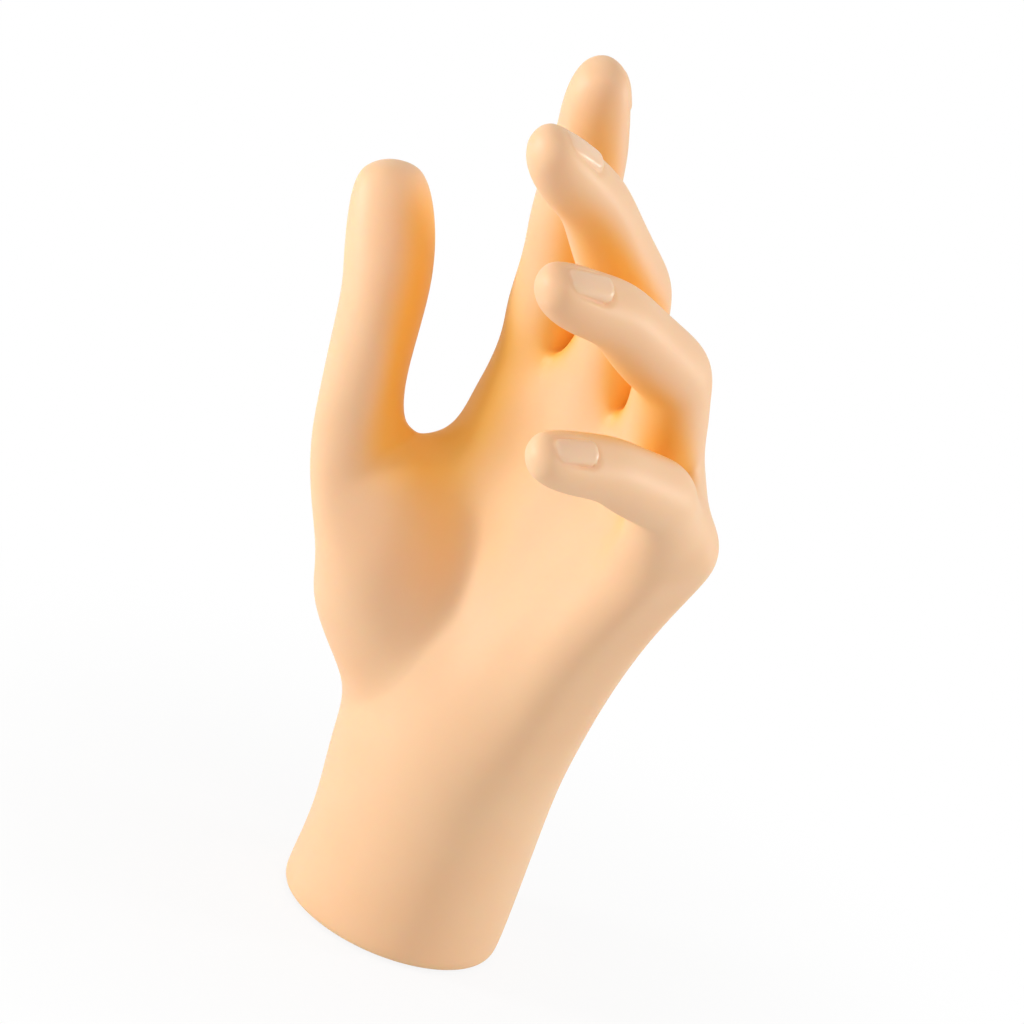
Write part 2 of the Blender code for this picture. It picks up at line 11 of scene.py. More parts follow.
import bmesh
import bpy
from bpy.props import FloatProperty, FloatVectorProperty, IntProperty, PointerProperty
from mathutils import Matrix, Vector
from mathutils.bvhtree import BVHTree


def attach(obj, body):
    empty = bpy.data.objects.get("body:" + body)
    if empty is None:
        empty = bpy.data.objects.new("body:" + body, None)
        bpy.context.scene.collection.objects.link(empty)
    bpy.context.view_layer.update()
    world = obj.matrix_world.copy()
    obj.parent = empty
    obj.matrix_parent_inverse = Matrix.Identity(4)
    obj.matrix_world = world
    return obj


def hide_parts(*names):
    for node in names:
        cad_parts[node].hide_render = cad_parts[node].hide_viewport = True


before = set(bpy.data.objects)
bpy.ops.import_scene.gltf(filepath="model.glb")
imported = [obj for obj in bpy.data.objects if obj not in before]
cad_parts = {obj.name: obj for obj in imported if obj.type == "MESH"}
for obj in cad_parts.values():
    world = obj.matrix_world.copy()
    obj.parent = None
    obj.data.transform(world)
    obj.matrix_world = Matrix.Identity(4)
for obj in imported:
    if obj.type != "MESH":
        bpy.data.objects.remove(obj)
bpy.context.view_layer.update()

bl_info = {
    "name": "Ring display hand",
    "version": (1, 0, 0),
    "blender": (4, 5, 0),
    "location": "3D View > Sidebar > Display hand",
    "description": "Builds the skin, base and finishes of a moulded ring display hand",
    "category": "Add Mesh",
}

MM = 0.001

# Painted shadow of the thumb on the web between thumb and index finger, from the gap down into
# the palm: its line, how far the painted shadow reaches and how much it adds
THUMB_SHADOW_LINE = ((-2.0, -22.0, 128.0), (-1.0, -22.5, 121.0), (-2.5, -22.0, 113.5),
              (-7.5, -23.0, 106.0))
THUMB_SHADOW_REACH = 9.0
THUMB_SHADOW_TINT = 0.3

# How the painted shade in folds is found: directions looked along, the least slope to the skin
# that counts, the start above the skin and the rounds of evening out
FOLD_WAYS = 120
FOLD_SLOPE = 0.1
FOLD_START = 0.4
FOLD_ROUNDS = 12

# Easing of the web's bottom: its lowest place, the rounds, and the reach that shrinks by a step
WEB_BOTTOM = (-10.5, -19.0, 104.5)
EASE_ROUNDS = 16
EASE_REACH = 13.0
EASE_STEP = 0.5

# Touches on the skin, given one by one: place, reach and shift
SKIN_TRIMS = (
    # Web and the two sides of its gap
    ((-8.6, -20.2, 103.9), 2.5, (-0.75, -0.3, 0.85)),
    ((-6.7, -23.0, 113.5), 2.5, (0.65, 1.15, 0.8)),
    ((-12.2, -11.4, 104.2), 2.5, (-0.35, 0.0, 0.65)),
    ((-13.4, -32.3, 127.0), 14.0, (-0.95, -1.05, 0.0)),
    ((-12.8, -31.1, 114.0), 8.0, (-0.8, -0.8, 0.1)),
    ((-13.4, -29.1, 106.0), 5.0, (1.6, 1.95, 0.35)),
    ((-12.0, -22.9, 104.7), 5.0, (-0.45, 0.0, 0.9)),
    ((-9.6, -19.5, 108.0), 6.0, (-1.3, -1.0, 0.8)),
    ((-7.7, -20.8, 117.0), 7.0, (0.55, 0.75, 0.3)),
    ((-7.0, -20.8, 126.0), 8.0, (2.0, 2.6, 0.85)),
    # Ball of the thumb, its outer side, the palm beside it and the thumb's pad
    ((-9.3, -35.9, 95.2), 10.0, (1.1, -1.0, 0.55)),
    ((-6.4, -33.4, 86.0), 10.0, (1.65, -1.5, 0.8)),
    ((-1.5, -31.5, 77.5), 10.0, (1.65, -1.5, 0.8)),
    ((-5.5, -32.0, 98.0), 8.0, (2.4, -2.2, 1.2)),
    ((-12.5, -44.5, 97.0), 11.0, (-4.4, 4.05, -2.2)),
    ((2.8, -17.3, 97.8), 8.0, (0.7, -0.65, 0.35)),
    ((-13.1, -46.9, 130.0), 10.0, (1.05, -0.95, 0.5)),
    # Ring finger's side, wrist and little finger's side
    ((40.1, 2.4, 124.9), 9.0, (-0.7, -1.0, -0.4)),
    ((26.5, 10.1, 57.1), 14.0, (-0.5, -0.6, 0.0)),
    ((49.6, 1.8, 103.7), 9.0, (-0.5, -0.5, 0.2)),
)

# Camera: angles in degrees, places in millimetres
CAMERA_TILT = 19.99
CAMERA_ROLL = 19.91
CAMERA_TURN = 47.28
CAMERA_TARGET = (2.9, -2.3, 38.8)
CAMERA_SHIFT = (13.5, 50.4)
CAMERA_DISTANCE = 900.0
CAMERA_LENS = 154.1

# Lamps: place in metres along the camera's right, up and back, and size. All aim at one spot
KEY_LAMP = ((-0.79, 0.33, 0.20), 0.18)
BACK_LAMP = ((0.86, -0.12, -0.15), 0.22)
FILL_LAMP = ((0.40, 0.37, 0.69), 0.5)
LAMP_AIM = (0.005, -0.012, 0.1)

# Floor: half its side and how far it lies under the pad
FLOOR_HALF = 4000.0
FLOOR_DROP = 0.1

# Nails from the index finger to the thumb: turn from the finger's little-finger side, half
# width and rise. Then the shares of the end bone that they cover, the width of their edge,
# the corner and the crown as shares of half width and rise, how far the rise runs out at the
# tip, and the groove round them as a share of the rise, with the painted shadow in it. No nail
# reaches past a share of the end bone, a distance from its axis and an angle in radians
NAILS = ((82.0, 3.0, 0.6), (72.0, 2.8, 0.9), (65.0, 2.7, 1.6), (76.0, 2.5, 1.6),
         (90.0, 4.4, 1.0))
NAIL_SHARES = (0.45, 0.87)
NAIL_EDGE = 0.7
NAIL_CORNER = 0.7
NAIL_CROWN = 0.6
NAIL_FADE = 0.85
NAIL_GROOVE = 0.44
NAIL_GROOVE_SHADOW = 0.12
NAIL_LIMITS = (1.1, 10.0, 1.2)

# Wrist and base of the hand
WRIST_HALF_WIDTH = 25.1
WRIST_HALF_DEPTH = 23.0
WRIST_HEIGHT = 40.0
WRIST_LEAN = (4.1, -1.1)
LEAN_CURVE = 0.7
WRIST_TAPER = 1.8
MIDDLE_HEIGHT = 0.5 * WRIST_HEIGHT
MIDDLE_TAPER = 0.6 * WRIST_TAPER
RIM_HEIGHT = 0.8
RIM_EDGE = 1.4

# Walls and the plug's seat in the wrist
HAND_WALL = 3.6
END_WALL = 3.0
SEAT_DEPTH = 2.2
SEAT_INSET = 3.2
MOUTH_INSET = 7.6
CAVITY_SHARES = (0.20, 0.45, 0.68)
FIT_GAP = 0.3

# Palm thickness at the knuckle row, measured from the knuckle centres
KNUCKLE_BACK = 10.5
KNUCKLE_PALM = 14.0
CREASE_SHARE = 0.24
CREASE_BACK = 9.6
CREASE_PALM = 12.2
ROOT_SHARE = 0.45
ROOT_BACK = 9.0
ROOT_PALM = 9.5
WEB_DROP = 3.0

# Section of the palm: its flat middle, full width and straight sides as shares
SLAB_FLAT = 0.34
SLAB_WIDE = 1.05
SLAB_SIDE = 0.28

# Rows of the palm between wrist and knuckles, and the depth of its edges
PALM_SHARES = (0.13, 0.38, 0.62, 0.83)
PALM_EDGE = 0.94
OUTER_EDGE = 0.66
THUMB_SIDE_SHARE = 0.76
MOUND_SLIDES = (2.6, 2.7, 1.4, 0.0)
MOUND_SPREADS = (1.8, 4.0)
WEB_SAG = 1.2

# Soft mounds of the palm: centre, reach and push
PALM_PUSHES = (
    ((-22.0, -22.0, 56.0), 20.0, (-8.8, -9.5, 0.0)),  # outer side of the thumb's ball
    ((-4.0, -29.0, 71.0), 15.0, (7.0, -6.0, 0.0)),  # crown of the thumb's ball
    ((38.5, -5.0, 79.0), 24.0, (-4.0, -1.0, 0.0)),  # heel of the hand
    ((6.0, -24.0, 88.0), 15.0, (0.0, 5.5, 0.0)),  # hollow of the palm
    ((-15.0, -27.0, 98.0), 9.0, (-1.0, 0.0, 10.0)),  # web of the thumb
)

# Fingers from the index to the little one: knuckle centre, lean to the little-finger side,
# bends, bone lengths and half widths at the ten stations along the finger
FINGERS = (
    ((-2.7, -9.5, 116.6), 10.8, (15.7, -0.5, 3.7), (38.9, 24.8, 19.8),
     (8.5, 8.1, 8.2, 8.3, 8.0, 7.5, 7.0, 6.6, 5.9, 4.4)),
    ((16.1, -4.0, 120.2), 16.4, (24.5, 21.9, 10.8), (40.2, 29.4, 24.5),
     (8.7, 8.3, 8.3, 8.0, 7.5, 7.1, 6.8, 6.5, 5.9, 4.5)),
    ((32.5, -1.2, 115.3), 20.0, (28.6, 30.0, 14.3), (37.7, 26.8, 23.1),
     (8.2, 7.8, 7.8, 7.6, 7.2, 6.8, 6.5, 6.2, 5.6, 4.3)),
    ((45.0, -3.7, 108.1), 29.7, (42.0, 25.1, 12.8), (28.5, 20.0, 21.3),
     (7.4, 7.1, 7.1, 7.0, 6.7, 6.3, 6.1, 5.8, 5.2, 4.0)),
)

# Thumb: its root, knuckle, joint and tip, and its half widths
THUMB_POINTS = ((-9.7, -14.3, 55.8), (-17.1, -37.3, 98.8), (-18.2, -39.7, 132.3),
                (-28.7, -41.9, 156.0))
THUMB_WIDTHS = (10.8, 9.4, 8.9, 9.0, 9.1, 9.4, 9.1, 8.1, 6.1)

# Section of a finger: depth of its back and of its pad as shares of the half width
STATIONS = ((0, 0.62), (0, 0.82), (1, 0.0), (1, 0.22), (1, 0.62),
            (2, 0.0), (2, 0.30), (2, 0.55), (2, 0.79), (2, 0.93))
BACK_SHARE = (0.98, 0.95, 1.00, 0.95, 0.90, 0.92, 0.84, 0.80, 0.76, 0.70)
PAD_SHARE = (1.02, 0.97, 0.94, 1.02, 1.06, 0.98, 1.08, 1.12, 1.06, 0.94)
THUMB_STATIONS = ((0, 0.74), (1, 0.06), (1, 0.34), (1, 0.70),
                  (2, 0.0), (2, 0.26), (2, 0.54), (2, 0.80), (2, 0.94))
THUMB_BACK = (0.80, 0.90, 0.92, 0.92, 0.95, 0.84, 0.76, 0.70, 0.62)
THUMB_PAD = (0.95, 1.00, 0.95, 0.97, 0.95, 1.02, 1.02, 0.97, 0.86)
THUMB_TILTS = (54.0, 44.0, 18.0, 4.0, 0.0, 0.0, 0.0, 0.0, 0.0)

# Columns of a limb and of the palm's tube, the angle of the first one and the factor that undoes
# the smoothing's shrink. Then a fingertip's last patch as a share, and the rings with sharp edges
LIMB_COLUMNS = 12
LIMB_START = 225.0
LIMB_GROW = 6.0 / (4.0 + 2.0 * math.cos(2.0 * math.pi / LIMB_COLUMNS))
TUBE_COLUMNS = 30
TUBE_START = 198.0
TUBE_GROW = 6.0 / (4.0 + 2.0 * math.cos(2.0 * math.pi / TUBE_COLUMNS))
TIP_SHARE = 0.42
SHARP_RINGS = 5

# Base plug, weight, screws and pad
PLUG_HEIGHT = 18.0
PLUG_WALL = 1.8
PLUG_FLOOR = 2.2
BOSS_OFFSET = 9.0
BOSS_RADIUS = 3.4
PILOT_RADIUS = 1.4
BOSS_ROOT = 0.8
BOSS_CHAMFER = 0.3
PILOT_SPARE = 1.0
WEIGHT_THICK = 11.0
WEIGHT_CHAMFER = 0.6
SCREW_RADIUS = 1.1
SCREW_LENGTH = 7.0
SCREW_HEAD_RADIUS = 5.0
SCREW_HEAD_HEIGHT = 2.0
SCREW_FLANGE = 0.6
SCREW_CROWN_RADIUS = 3.4
SCREW_FLAT = 0.4 * SCREW_CROWN_RADIUS
SCREW_ROUNDING = 0.35
SCREW_THREAD = 0.32
SCREW_NECK = 0.4
SCREW_STEPS = 8
SCREW_TIP = 0.25
SCREW_POINT = 1.4
SCREW_SLOT_WIDTH = 1.0
SCREW_SLOT_LENGTH = 4.6
SCREW_SLOT_DEPTH = 1.1
SCREW_SLOT_TAPER = 0.9
SCREW_SLOT_SPARE = 0.02
PAD_THICK = 1.0
PAD_INSET = 4.6
PAD_CHAMFER = 0.3
FACE_RING = 3.0
LONGEST_ROUNDING = 0.45
WEIGHT_RING = 4.0
OVAL_SEGMENTS = 144
ROUND_SEGMENTS = 48

# What settings of one kind share
COLOUR = {"subtype": "COLOR", "size": 3, "min": 0.0, "max": 1.0}
LENGTH = {"subtype": "DISTANCE", "unit": "LENGTH"}
POWER = {"min": 0.0, "max": 200.0, "subtype": "POWER", "unit": "POWER"}

# What nodes share
RGBA = {"data_type": "RGBA"}
SMOOTH = {"interpolation_type": "SMOOTHSTEP"}
WHITE = (1.0, 1.0, 1.0, 1.0)

# Heights that follow from the sizes above
SEAT_HEIGHT = RIM_HEIGHT + SEAT_DEPTH
CAVITY_FLOOR = SEAT_HEIGHT + END_WALL
PLUG_BOTTOM = PAD_THICK + FIT_GAP
FLANGE_TOP = SEAT_HEIGHT - FIT_GAP
CUP_FLOOR = PLUG_BOTTOM + PLUG_FLOOR
WEIGHT_BOTTOM = CUP_FLOOR + FIT_GAP
WEIGHT_TOP = WEIGHT_BOTTOM + WEIGHT_THICK


def hex_colour(text):
    """Linear colour of an sRGB hex value."""
    parts = [int(text[k:k + 2], 16) / 255.0 for k in (1, 3, 5)]
    return tuple(p / 12.92 if p <= 0.04045 else ((p + 0.055) / 1.055) ** 2.4 for p in parts)


class SkinSettings(bpy.types.PropertyGroup):
    """Sizes and colours of the moulded hand."""

    smoothing: IntProperty(
        name="Smoothing", description="Subdivision steps of the skin's cage",
        default=3, min=1, max=4)
    skin: FloatVectorProperty(
        name="Skin", description="Main colour of the vinyl",
        **COLOUR, default=hex_colour("#F9CFA4"))
    flush: FloatVectorProperty(
        name="Flush", description="Warmer tone that clouds the vinyl",
        **COLOUR, default=hex_colour("#F6C396"))
    # Deep orange of the painted shade in folds, of the thumb's painted shadow on the web and of
    # the painted shadow in the nail grooves
    fold: FloatVectorProperty(
        name="Fold", description="Colour that the vinyl deepens to where it folds in",
        **COLOUR, default=hex_colour("#FDBA52"))
    fold_reach: FloatProperty(
        name="Fold reach", description="How near other skin counts as a fold",
        default=0.1, min=0.01, max=0.2, **LENGTH)
    nail: FloatVectorProperty(
        name="Nail", description="Colour of the nail plates",
        **COLOUR, default=hex_colour("#FBD1AC"))


class BaseSettings(bpy.types.PropertyGroup):
    """Sizes and colours of the plug, weight, screws and pad."""

    rounding: FloatProperty(
        name="Edge rounding", description="Radius of the plug's moulded edges",
        default=0.0006, min=0.0001, max=0.0012, **LENGTH)
    thread_pitch: FloatProperty(
        name="Thread pitch", description="Rise of the screw thread in one turn",
        default=0.0011, min=0.0004, max=0.002, **LENGTH)
    plug: FloatVectorProperty(
        name="Plug", description="Colour of the moulded plug",
        **COLOUR, default=hex_colour("#D9C3A6"))
    steel: FloatVectorProperty(
        name="Steel", description="Colour of the plated weight",
        **COLOUR, default=hex_colour("#B9BABC"))
    zinc: FloatVectorProperty(
        name="Zinc", description="Colour of the screws",
        **COLOUR, default=hex_colour("#D3D3CC"))
    pad: FloatVectorProperty(
        name="Pad", description="Colour of the non-slip pad",
        **COLOUR, default=hex_colour("#3A3836"))


class StageSettings(bpy.types.PropertyGroup):
    """Light and floor of the studio."""

    key_power: FloatProperty(
        name="Key light", description="Power of the light beside the thumb",
        default=4.3, **POWER)
    back_power: FloatProperty(
        name="Back light", description="Power of the light behind the little finger",
        default=2.4, **POWER)
    fill_power: FloatProperty(
        name="Fill light", description="Power of the soft light beside the camera",
        default=1.05, **POWER)
    sky: FloatProperty(
        name="Room light", description="Strength of the even light all round",
        default=0.56, min=0.0, max=2.0)
    floor: FloatVectorProperty(
        name="Floor", description="Colour of the paper floor",
        **COLOUR, default=hex_colour("#F4F4F4"))


def turns(count, start=0.0):
    """Even angles round a ring."""
    return [math.radians(start + 360.0 * k / count) for k in range(count)]


def oval_ring(count, inset, height, start=0.0):
    """Points of the wrist's oval, moved in by an inset."""
    wide = WRIST_HALF_WIDTH - inset
    deep = WRIST_HALF_DEPTH - inset
    return [Vector((wide * math.cos(a), deep * math.sin(a), height)) for a in turns(count, start)]


def add_ring(bm, points):
    return [bm.verts.new(p) for p in points]


def bridge(bm, low, high):
    """Join two rings of the same count with quads."""
    count = len(low)
    for k in range(count):
        n = (k + 1) % count
        bm.faces.new((low[k], low[n], high[n], high[k]))


def loft(bm, rings):
    """Closed body through a list of point rings."""
    made = [add_ring(bm, ring) for ring in rings]
    for low, high in zip(made, made[1:]):
        bridge(bm, low, high)
    bm.faces.new(list(reversed(made[0])))
    bm.faces.new(made[-1])


class Chain:
    """A finger's bones as points, with the side direction of each finger."""

    def __init__(self, points, side):
        self.points = points
        self.side = side.normalized()
        self.ways = [(b - a).normalized() for a, b in zip(points, points[1:])]

    def place(self, bone, share):
        return self.points[bone].lerp(self.points[bone + 1], share)

    def way(self, bone, share):
        """Direction of the finger, halved between two bones at a joint."""
        if share == 0.0 and bone > 0:
            return (self.ways[bone - 1] + self.ways[bone]).normalized()
        return self.ways[bone]

    def frame(self, bone, share, tilt=0.0):
        """Centre, side and back directions of a section, its pad edge tilted up."""
        way = self.way(bone, share)
        side = (self.side - way * self.side.dot(way)).normalized()
        rise = way.cross(side)
        tilt = math.radians(tilt)
        rise = rise * math.cos(tilt) - way * math.sin(tilt)
        return self.place(bone, share), side, rise

    def section(self, bone, share, half_width, back, pad, tilt=0.0):
        """Twelve points around the finger, from the pad's thumb side on."""
        centre, side, rise = self.frame(bone, share, tilt)
        ring = []
        for angle in turns(LIMB_COLUMNS, LIMB_START):
            up = math.sin(angle)
            depth = back if up > 0.0 else pad
            offset = side * (math.cos(angle) * half_width) + rise * (up * depth)
            ring.append(centre + offset * LIMB_GROW)
        return ring


def slab_section(chain, share, half_width, depths, edges, thumb_share):
    """Flat twelve-point section of the palm across one finger's ray."""
    centre, side, rise = chain.frame(0, share)
    back, palm = depths
    near, far = edges
    flat = SLAB_FLAT * half_width
    wide = SLAB_WIDE * half_width
    inner = thumb_share * half_width
    outer = SLAB_WIDE * inner
    places = ((-inner, -near * palm), (-flat, -palm), (flat, -palm), (half_width, -far * palm),
              (wide, -SLAB_SIDE * palm), (wide, SLAB_SIDE * back), (half_width, far * back),
              (flat, back), (-flat, back), (-inner, near * back),
              (-outer, SLAB_SIDE * back), (-outer, -SLAB_SIDE * palm))
    return [centre + side * x + rise * y for x, y in places]


def finger_chain(knuckle, lean, bends, bones):
    lean = math.radians(lean)
    forward = Vector((math.sin(lean), 0.0, math.cos(lean)))
    palmward = Vector((0.0, -1.0, 0.0))
    points = [Vector(knuckle)]
    bend = 0.0
    for turn, length in zip(bends, bones):
        bend += math.radians(turn)
        way = forward * math.cos(bend) + palmward * math.sin(bend)
        points.append(points[-1] + way * length)
    side = Vector((math.cos(lean), 0.0, -math.sin(lean)))
    return Chain(points, side)


def thumb_chain():
    return Chain([Vector(point) for point in THUMB_POINTS], Vector((0.0, 1.0, 0.0)))


def finger_table():
    """Chain and half widths of each finger."""
    return [(finger_chain(*sizes), widths) for *sizes, widths in FINGERS]


def row_of_sections(sections):
    """Thirty columns around four neighbouring twelve-point sections."""
    row = [None] * TUBE_COLUMNS
    for f, ring in enumerate(sections):
        for k in range(4):
            blend_in(row, 3 * f + k, ring[k])
            blend_in(row, 27 - 3 * f - k, ring[9 - k])
    row[28:] = sections[0][10:]
    row[13:15] = sections[3][4:6]
    return row


def blend_in(row, column, point):
    """Neighbouring fingers share a corner half way between them."""
    other = row[column]
    row[column] = point.copy() if other is None else (other + point) * 0.5


def spread(places):
    """Half the distance to the neighbours, for each finger's own width in a row."""
    steps = [(b - a).length for a, b in zip(places, places[1:])]
    left = [steps[0]] + steps
    right = steps + [steps[-1]]
    return [(a + b) * 0.25 for a, b in zip(left, right)]


def slab_row(fingers, share, back, palm):
    """Row of the palm across the four fingers at a share of their first bones."""
    chains = [chain for chain, _ in fingers]
    widths = spread([chain.place(0, share) for chain in chains])
    nears = (OUTER_EDGE, PALM_EDGE, PALM_EDGE, PALM_EDGE)
    inners = (THUMB_SIDE_SHARE, 1.0, 1.0, 1.0)
    rings = [slab_section(chain, share, width, (back, palm), (near, far), inner)
             for chain, width, near, far, inner in zip(chains, widths, nears, nears[::-1], inners)]
    return row_of_sections(rings)


def pushed(point, pushes):
    """A point after a table of soft pushes."""
    for centre, reach, amount in pushes:
        distance = (point - Vector(centre)).length / reach
        point = point + Vector(amount) * math.exp(-distance * distance)
    return point


def shape_palm(row):
    return [pushed(point, PALM_PUSHES) for point in row]


def slide_columns(row, amount):
    """Move the thumb's columns of a row along the row towards the little finger."""
    count = len(row)
    slid = []
    for c in range(count):
        away = (c - 2 + count // 2) % count - count // 2
        reach = MOUND_SPREADS[0] if away < 0 else MOUND_SPREADS[1]
        place = c + amount * math.exp(-(away / reach) ** 2)
        low = math.floor(place)
        slid.append(row[low % count].lerp(row[(low + 1) % count], place - low))
    return slid


def wrist_row(height, inset=0.0):
    row = oval_ring(TUBE_COLUMNS, inset, height, TUBE_START)
    share = (max(0.0, height - RIM_HEIGHT - RIM_EDGE) / WRIST_HEIGHT) ** LEAN_CURVE
    shift = Vector((WRIST_LEAN[0] * share, WRIST_LEAN[1] * share, 0.0))
    return [p + shift for p in row]


def palm_rows(fingers):
    """Rows of the tube from the rim to the row just under the finger roots."""
    wrist = wrist_row(WRIST_HEIGHT, WRIST_TAPER)
    knuckles = slab_row(fingers, 0.0, KNUCKLE_BACK, KNUCKLE_PALM)
    crease = slab_row(fingers, CREASE_SHARE, CREASE_BACK, CREASE_PALM)
    rows = [
        wrist_row(RIM_HEIGHT, RIM_EDGE * 0.5),
        wrist_row(RIM_HEIGHT + RIM_EDGE * 0.6),
        wrist_row(MIDDLE_HEIGHT, MIDDLE_TAPER),
        shape_palm(wrist),
    ]
    for share, slide in zip(PALM_SHARES, MOUND_SLIDES):
        row = [a.lerp(b, share) for a, b in zip(wrist, knuckles)]
        rows.append(shape_palm(slide_columns(row, slide)))
    return rows + [knuckles, crease]


def add_roots(bm, fingers):
    """Finger root rings that share corners and web points with their neighbours."""
    rings = [chain.section(0, ROOT_SHARE, widths[0], ROOT_BACK, ROOT_PALM)
             for chain, widths in fingers]
    row = add_ring(bm, row_of_sections(rings))
    webs = []
    for a, b, fa, fb in zip(rings, rings[1:], fingers, fingers[1:]):
        drop = (fa[0].ways[0] + fb[0].ways[0]).normalized() * WEB_DROP
        low = bm.verts.new((a[4] + b[11]) * 0.5 - drop)
        high = bm.verts.new((a[5] + b[10]) * 0.5 - drop)
        webs.append((low, high))
    return row, [root_loop(row, webs, f) for f in range(len(fingers))]


def root_loop(row, webs, f):
    near = (row[29], row[28]) if f == 0 else webs[f - 1]
    far = (row[13], row[14]) if f == 3 else webs[f]
    loop = [row[3 * f + k] for k in range(4)] + list(far)
    loop += [row[27 - 3 * f - k] for k in (3, 2, 1, 0)] + [near[1], near[0]]
    return loop


def add_cap(bm, ring, chain):
    """Close a finger end with a three by three patch of quads."""
    tip = chain.points[-1]
    centre = sum((v.co for v in ring), Vector()) / len(ring)
    corners = (0, 3, 6, 9)
    inner = {k: bm.verts.new(tip + (ring[k].co - centre) * TIP_SHARE) for k in corners}
    bm.faces.new([inner[k] for k in corners])
    for k in corners:
        bm.faces.new((ring[k], ring[k + 1], inner[k], ring[k - 1]))
        bm.faces.new((ring[k + 1], ring[k + 2], inner[(k + 3) % LIMB_COLUMNS], inner[k]))


def limb_points(chain, stations, widths, backs, pads, tilts):
    """Point rings of a finger from its first to its last station."""
    sizes = zip(stations, widths, backs, pads, tilts)
    return [chain.section(*station, width, width * back, width * pad, tilt)
            for station, width, back, pad, tilt in sizes]


def add_limb(bm, loop, chain, point_rings):
    """Grow a finger from its root loop to its tip."""
    last = loop
    for points in point_rings:
        ring = add_ring(bm, points)
        bridge(bm, last, ring)
        last = ring
    add_cap(bm, last, chain)


def thumb_loop(tube):
    """Edge and inner points of a three by three patch of the tube, nail side last."""
    low, second, third, high = tube[4:8]
    loop = [high[c] for c in (2, 1, 0, 29)] + [third[29], second[29]]
    loop += [low[c] for c in (29, 0, 1, 2)] + [second[2], third[2]]
    return loop, [row[c] for row in (second, third) for c in (0, 1)]


def add_thumb(bm, loop):
    chain = thumb_chain()
    points = limb_points(chain, THUMB_STATIONS, THUMB_WIDTHS, THUMB_BACK, THUMB_PAD,
                         THUMB_TILTS)
    between = shape_palm([v.co.lerp(p, 0.5) for v, p in zip(loop, points[0])])
    for point in between[:4]:
        point.z -= WEB_SAG
    points[0] = shape_palm(points[0])
    add_limb(bm, loop, chain, [between] + points)


def inset_ring(row, wall):
    """Move each point of a row inwards along the row's own plane."""
    centre = sum(row, Vector()) / len(row)
    normal = Vector()
    for p, q in zip(row, row[1:] + row[:1]):
        normal += (p - centre).cross(q - centre)
    ring = []
    for k, point in enumerate(row):
        along = row[(k + 1) % len(row)] - row[k - 1]
        inward = normal.cross(along).normalized()
        ring.append(point + inward * wall)
    return ring


def circle(x, radius, height):
    return [Vector((x + radius * math.cos(a), radius * math.sin(a), height))
            for a in turns(ROUND_SEGMENTS)]


def link_data(name, data):
    """Put a mesh, a lamp or a camera into the scene."""
    thing = bpy.data.objects.new(name, data)
    bpy.context.scene.collection.objects.link(thing)
    return thing


def link_mesh(name, bm, material=None):
    """Turn a millimetre bmesh into a named object in metres."""
    bmesh.ops.recalc_face_normals(bm, faces=bm.faces)
    bmesh.ops.scale(bm, vec=(MM, MM, MM), verts=bm.verts)
    mesh = bpy.data.meshes.new(name)
    bm.to_mesh(mesh)
    bm.free()
    if material:
        mesh.materials.append(material)
    return link_data(name, mesh)


def bake(thing):
    """Replace a mesh by its evaluated one and drop the modifiers."""
    graph = bpy.context.evaluated_depsgraph_get()
    mesh = bpy.data.meshes.new_from_object(thing.evaluated_get(graph))
    thing.modifiers.clear()
    thing.data = mesh
    mesh.name = thing.name
    return thing


def subdivide(thing, levels):
    step = thing.modifiers.new("smooth_skin", "SUBSURF")
    step.levels = levels
    step.render_levels = levels
    return bake(thing)


def shade_smooth(thing, angle):
    thing.data.polygons.foreach_set("use_smooth", [True] * len(thing.data.polygons))
    thing.data.set_sharp_from_angle(angle=math.radians(angle))
    return thing


def cut(thing, tool, operation="DIFFERENCE"):
    """Exact Boolean with a tool that is then removed."""
    step = thing.modifiers.new(tool.name, "BOOLEAN")
    step.operation = operation
    step.solver = "EXACT"
    step.object = tool
    bake(thing)
    bpy.data.objects.remove(tool, do_unlink=True)


def stand_for(thing, body, slot, *nodes):
    """Let a finished piece ride on its body in the place of its CAD nodes."""
    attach(thing, body)
    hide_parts(*nodes)


def inner_rings():
    """Rings of the seat, mouth and hollow, from the rim inwards and up."""
    rings = []
    for inset, height in ((SEAT_INSET, RIM_HEIGHT), (SEAT_INSET, SEAT_HEIGHT),
                          (MOUTH_INSET, SEAT_HEIGHT), (MOUTH_INSET, CAVITY_FLOOR)):
        ring = oval_ring(TUBE_COLUMNS, inset, height, TUBE_START)
        rings.append([Vector((p.x * TUBE_GROW, p.y * TUBE_GROW, p.z)) for p in ring])
    wrist = wrist_row(WRIST_HEIGHT, WRIST_TAPER)
    rows = [wrist_row(CAVITY_FLOOR), wrist_row(MIDDLE_HEIGHT, MIDDLE_TAPER), wrist]
    knuckles = slab_row(finger_table(), 0.0, KNUCKLE_BACK, KNUCKLE_PALM)
    for share in CAVITY_SHARES:
        rows.append(shape_palm([a.lerp(b, share) for a, b in zip(wrist, knuckles)]))
    return rings + [inset_ring(row, HAND_WALL) for row in rows]


def add_inner_walls(bm, rim, crease):
    """Close the hand from its rim through the mouth into the hollow palm."""
    last = rim
    sharp = [rim]
    for k, points in enumerate(inner_rings()):
        ring = add_ring(bm, points)
        bridge(bm, ring, last)
        last = ring
        if k < SHARP_RINGS:
            sharp.append(ring)
    bm.faces.new(last)
    for ring in sharp:
        for a, b in zip(ring, ring[1:] + ring[:1]):
            bm.edges.get((a, b))[crease] = 1.0


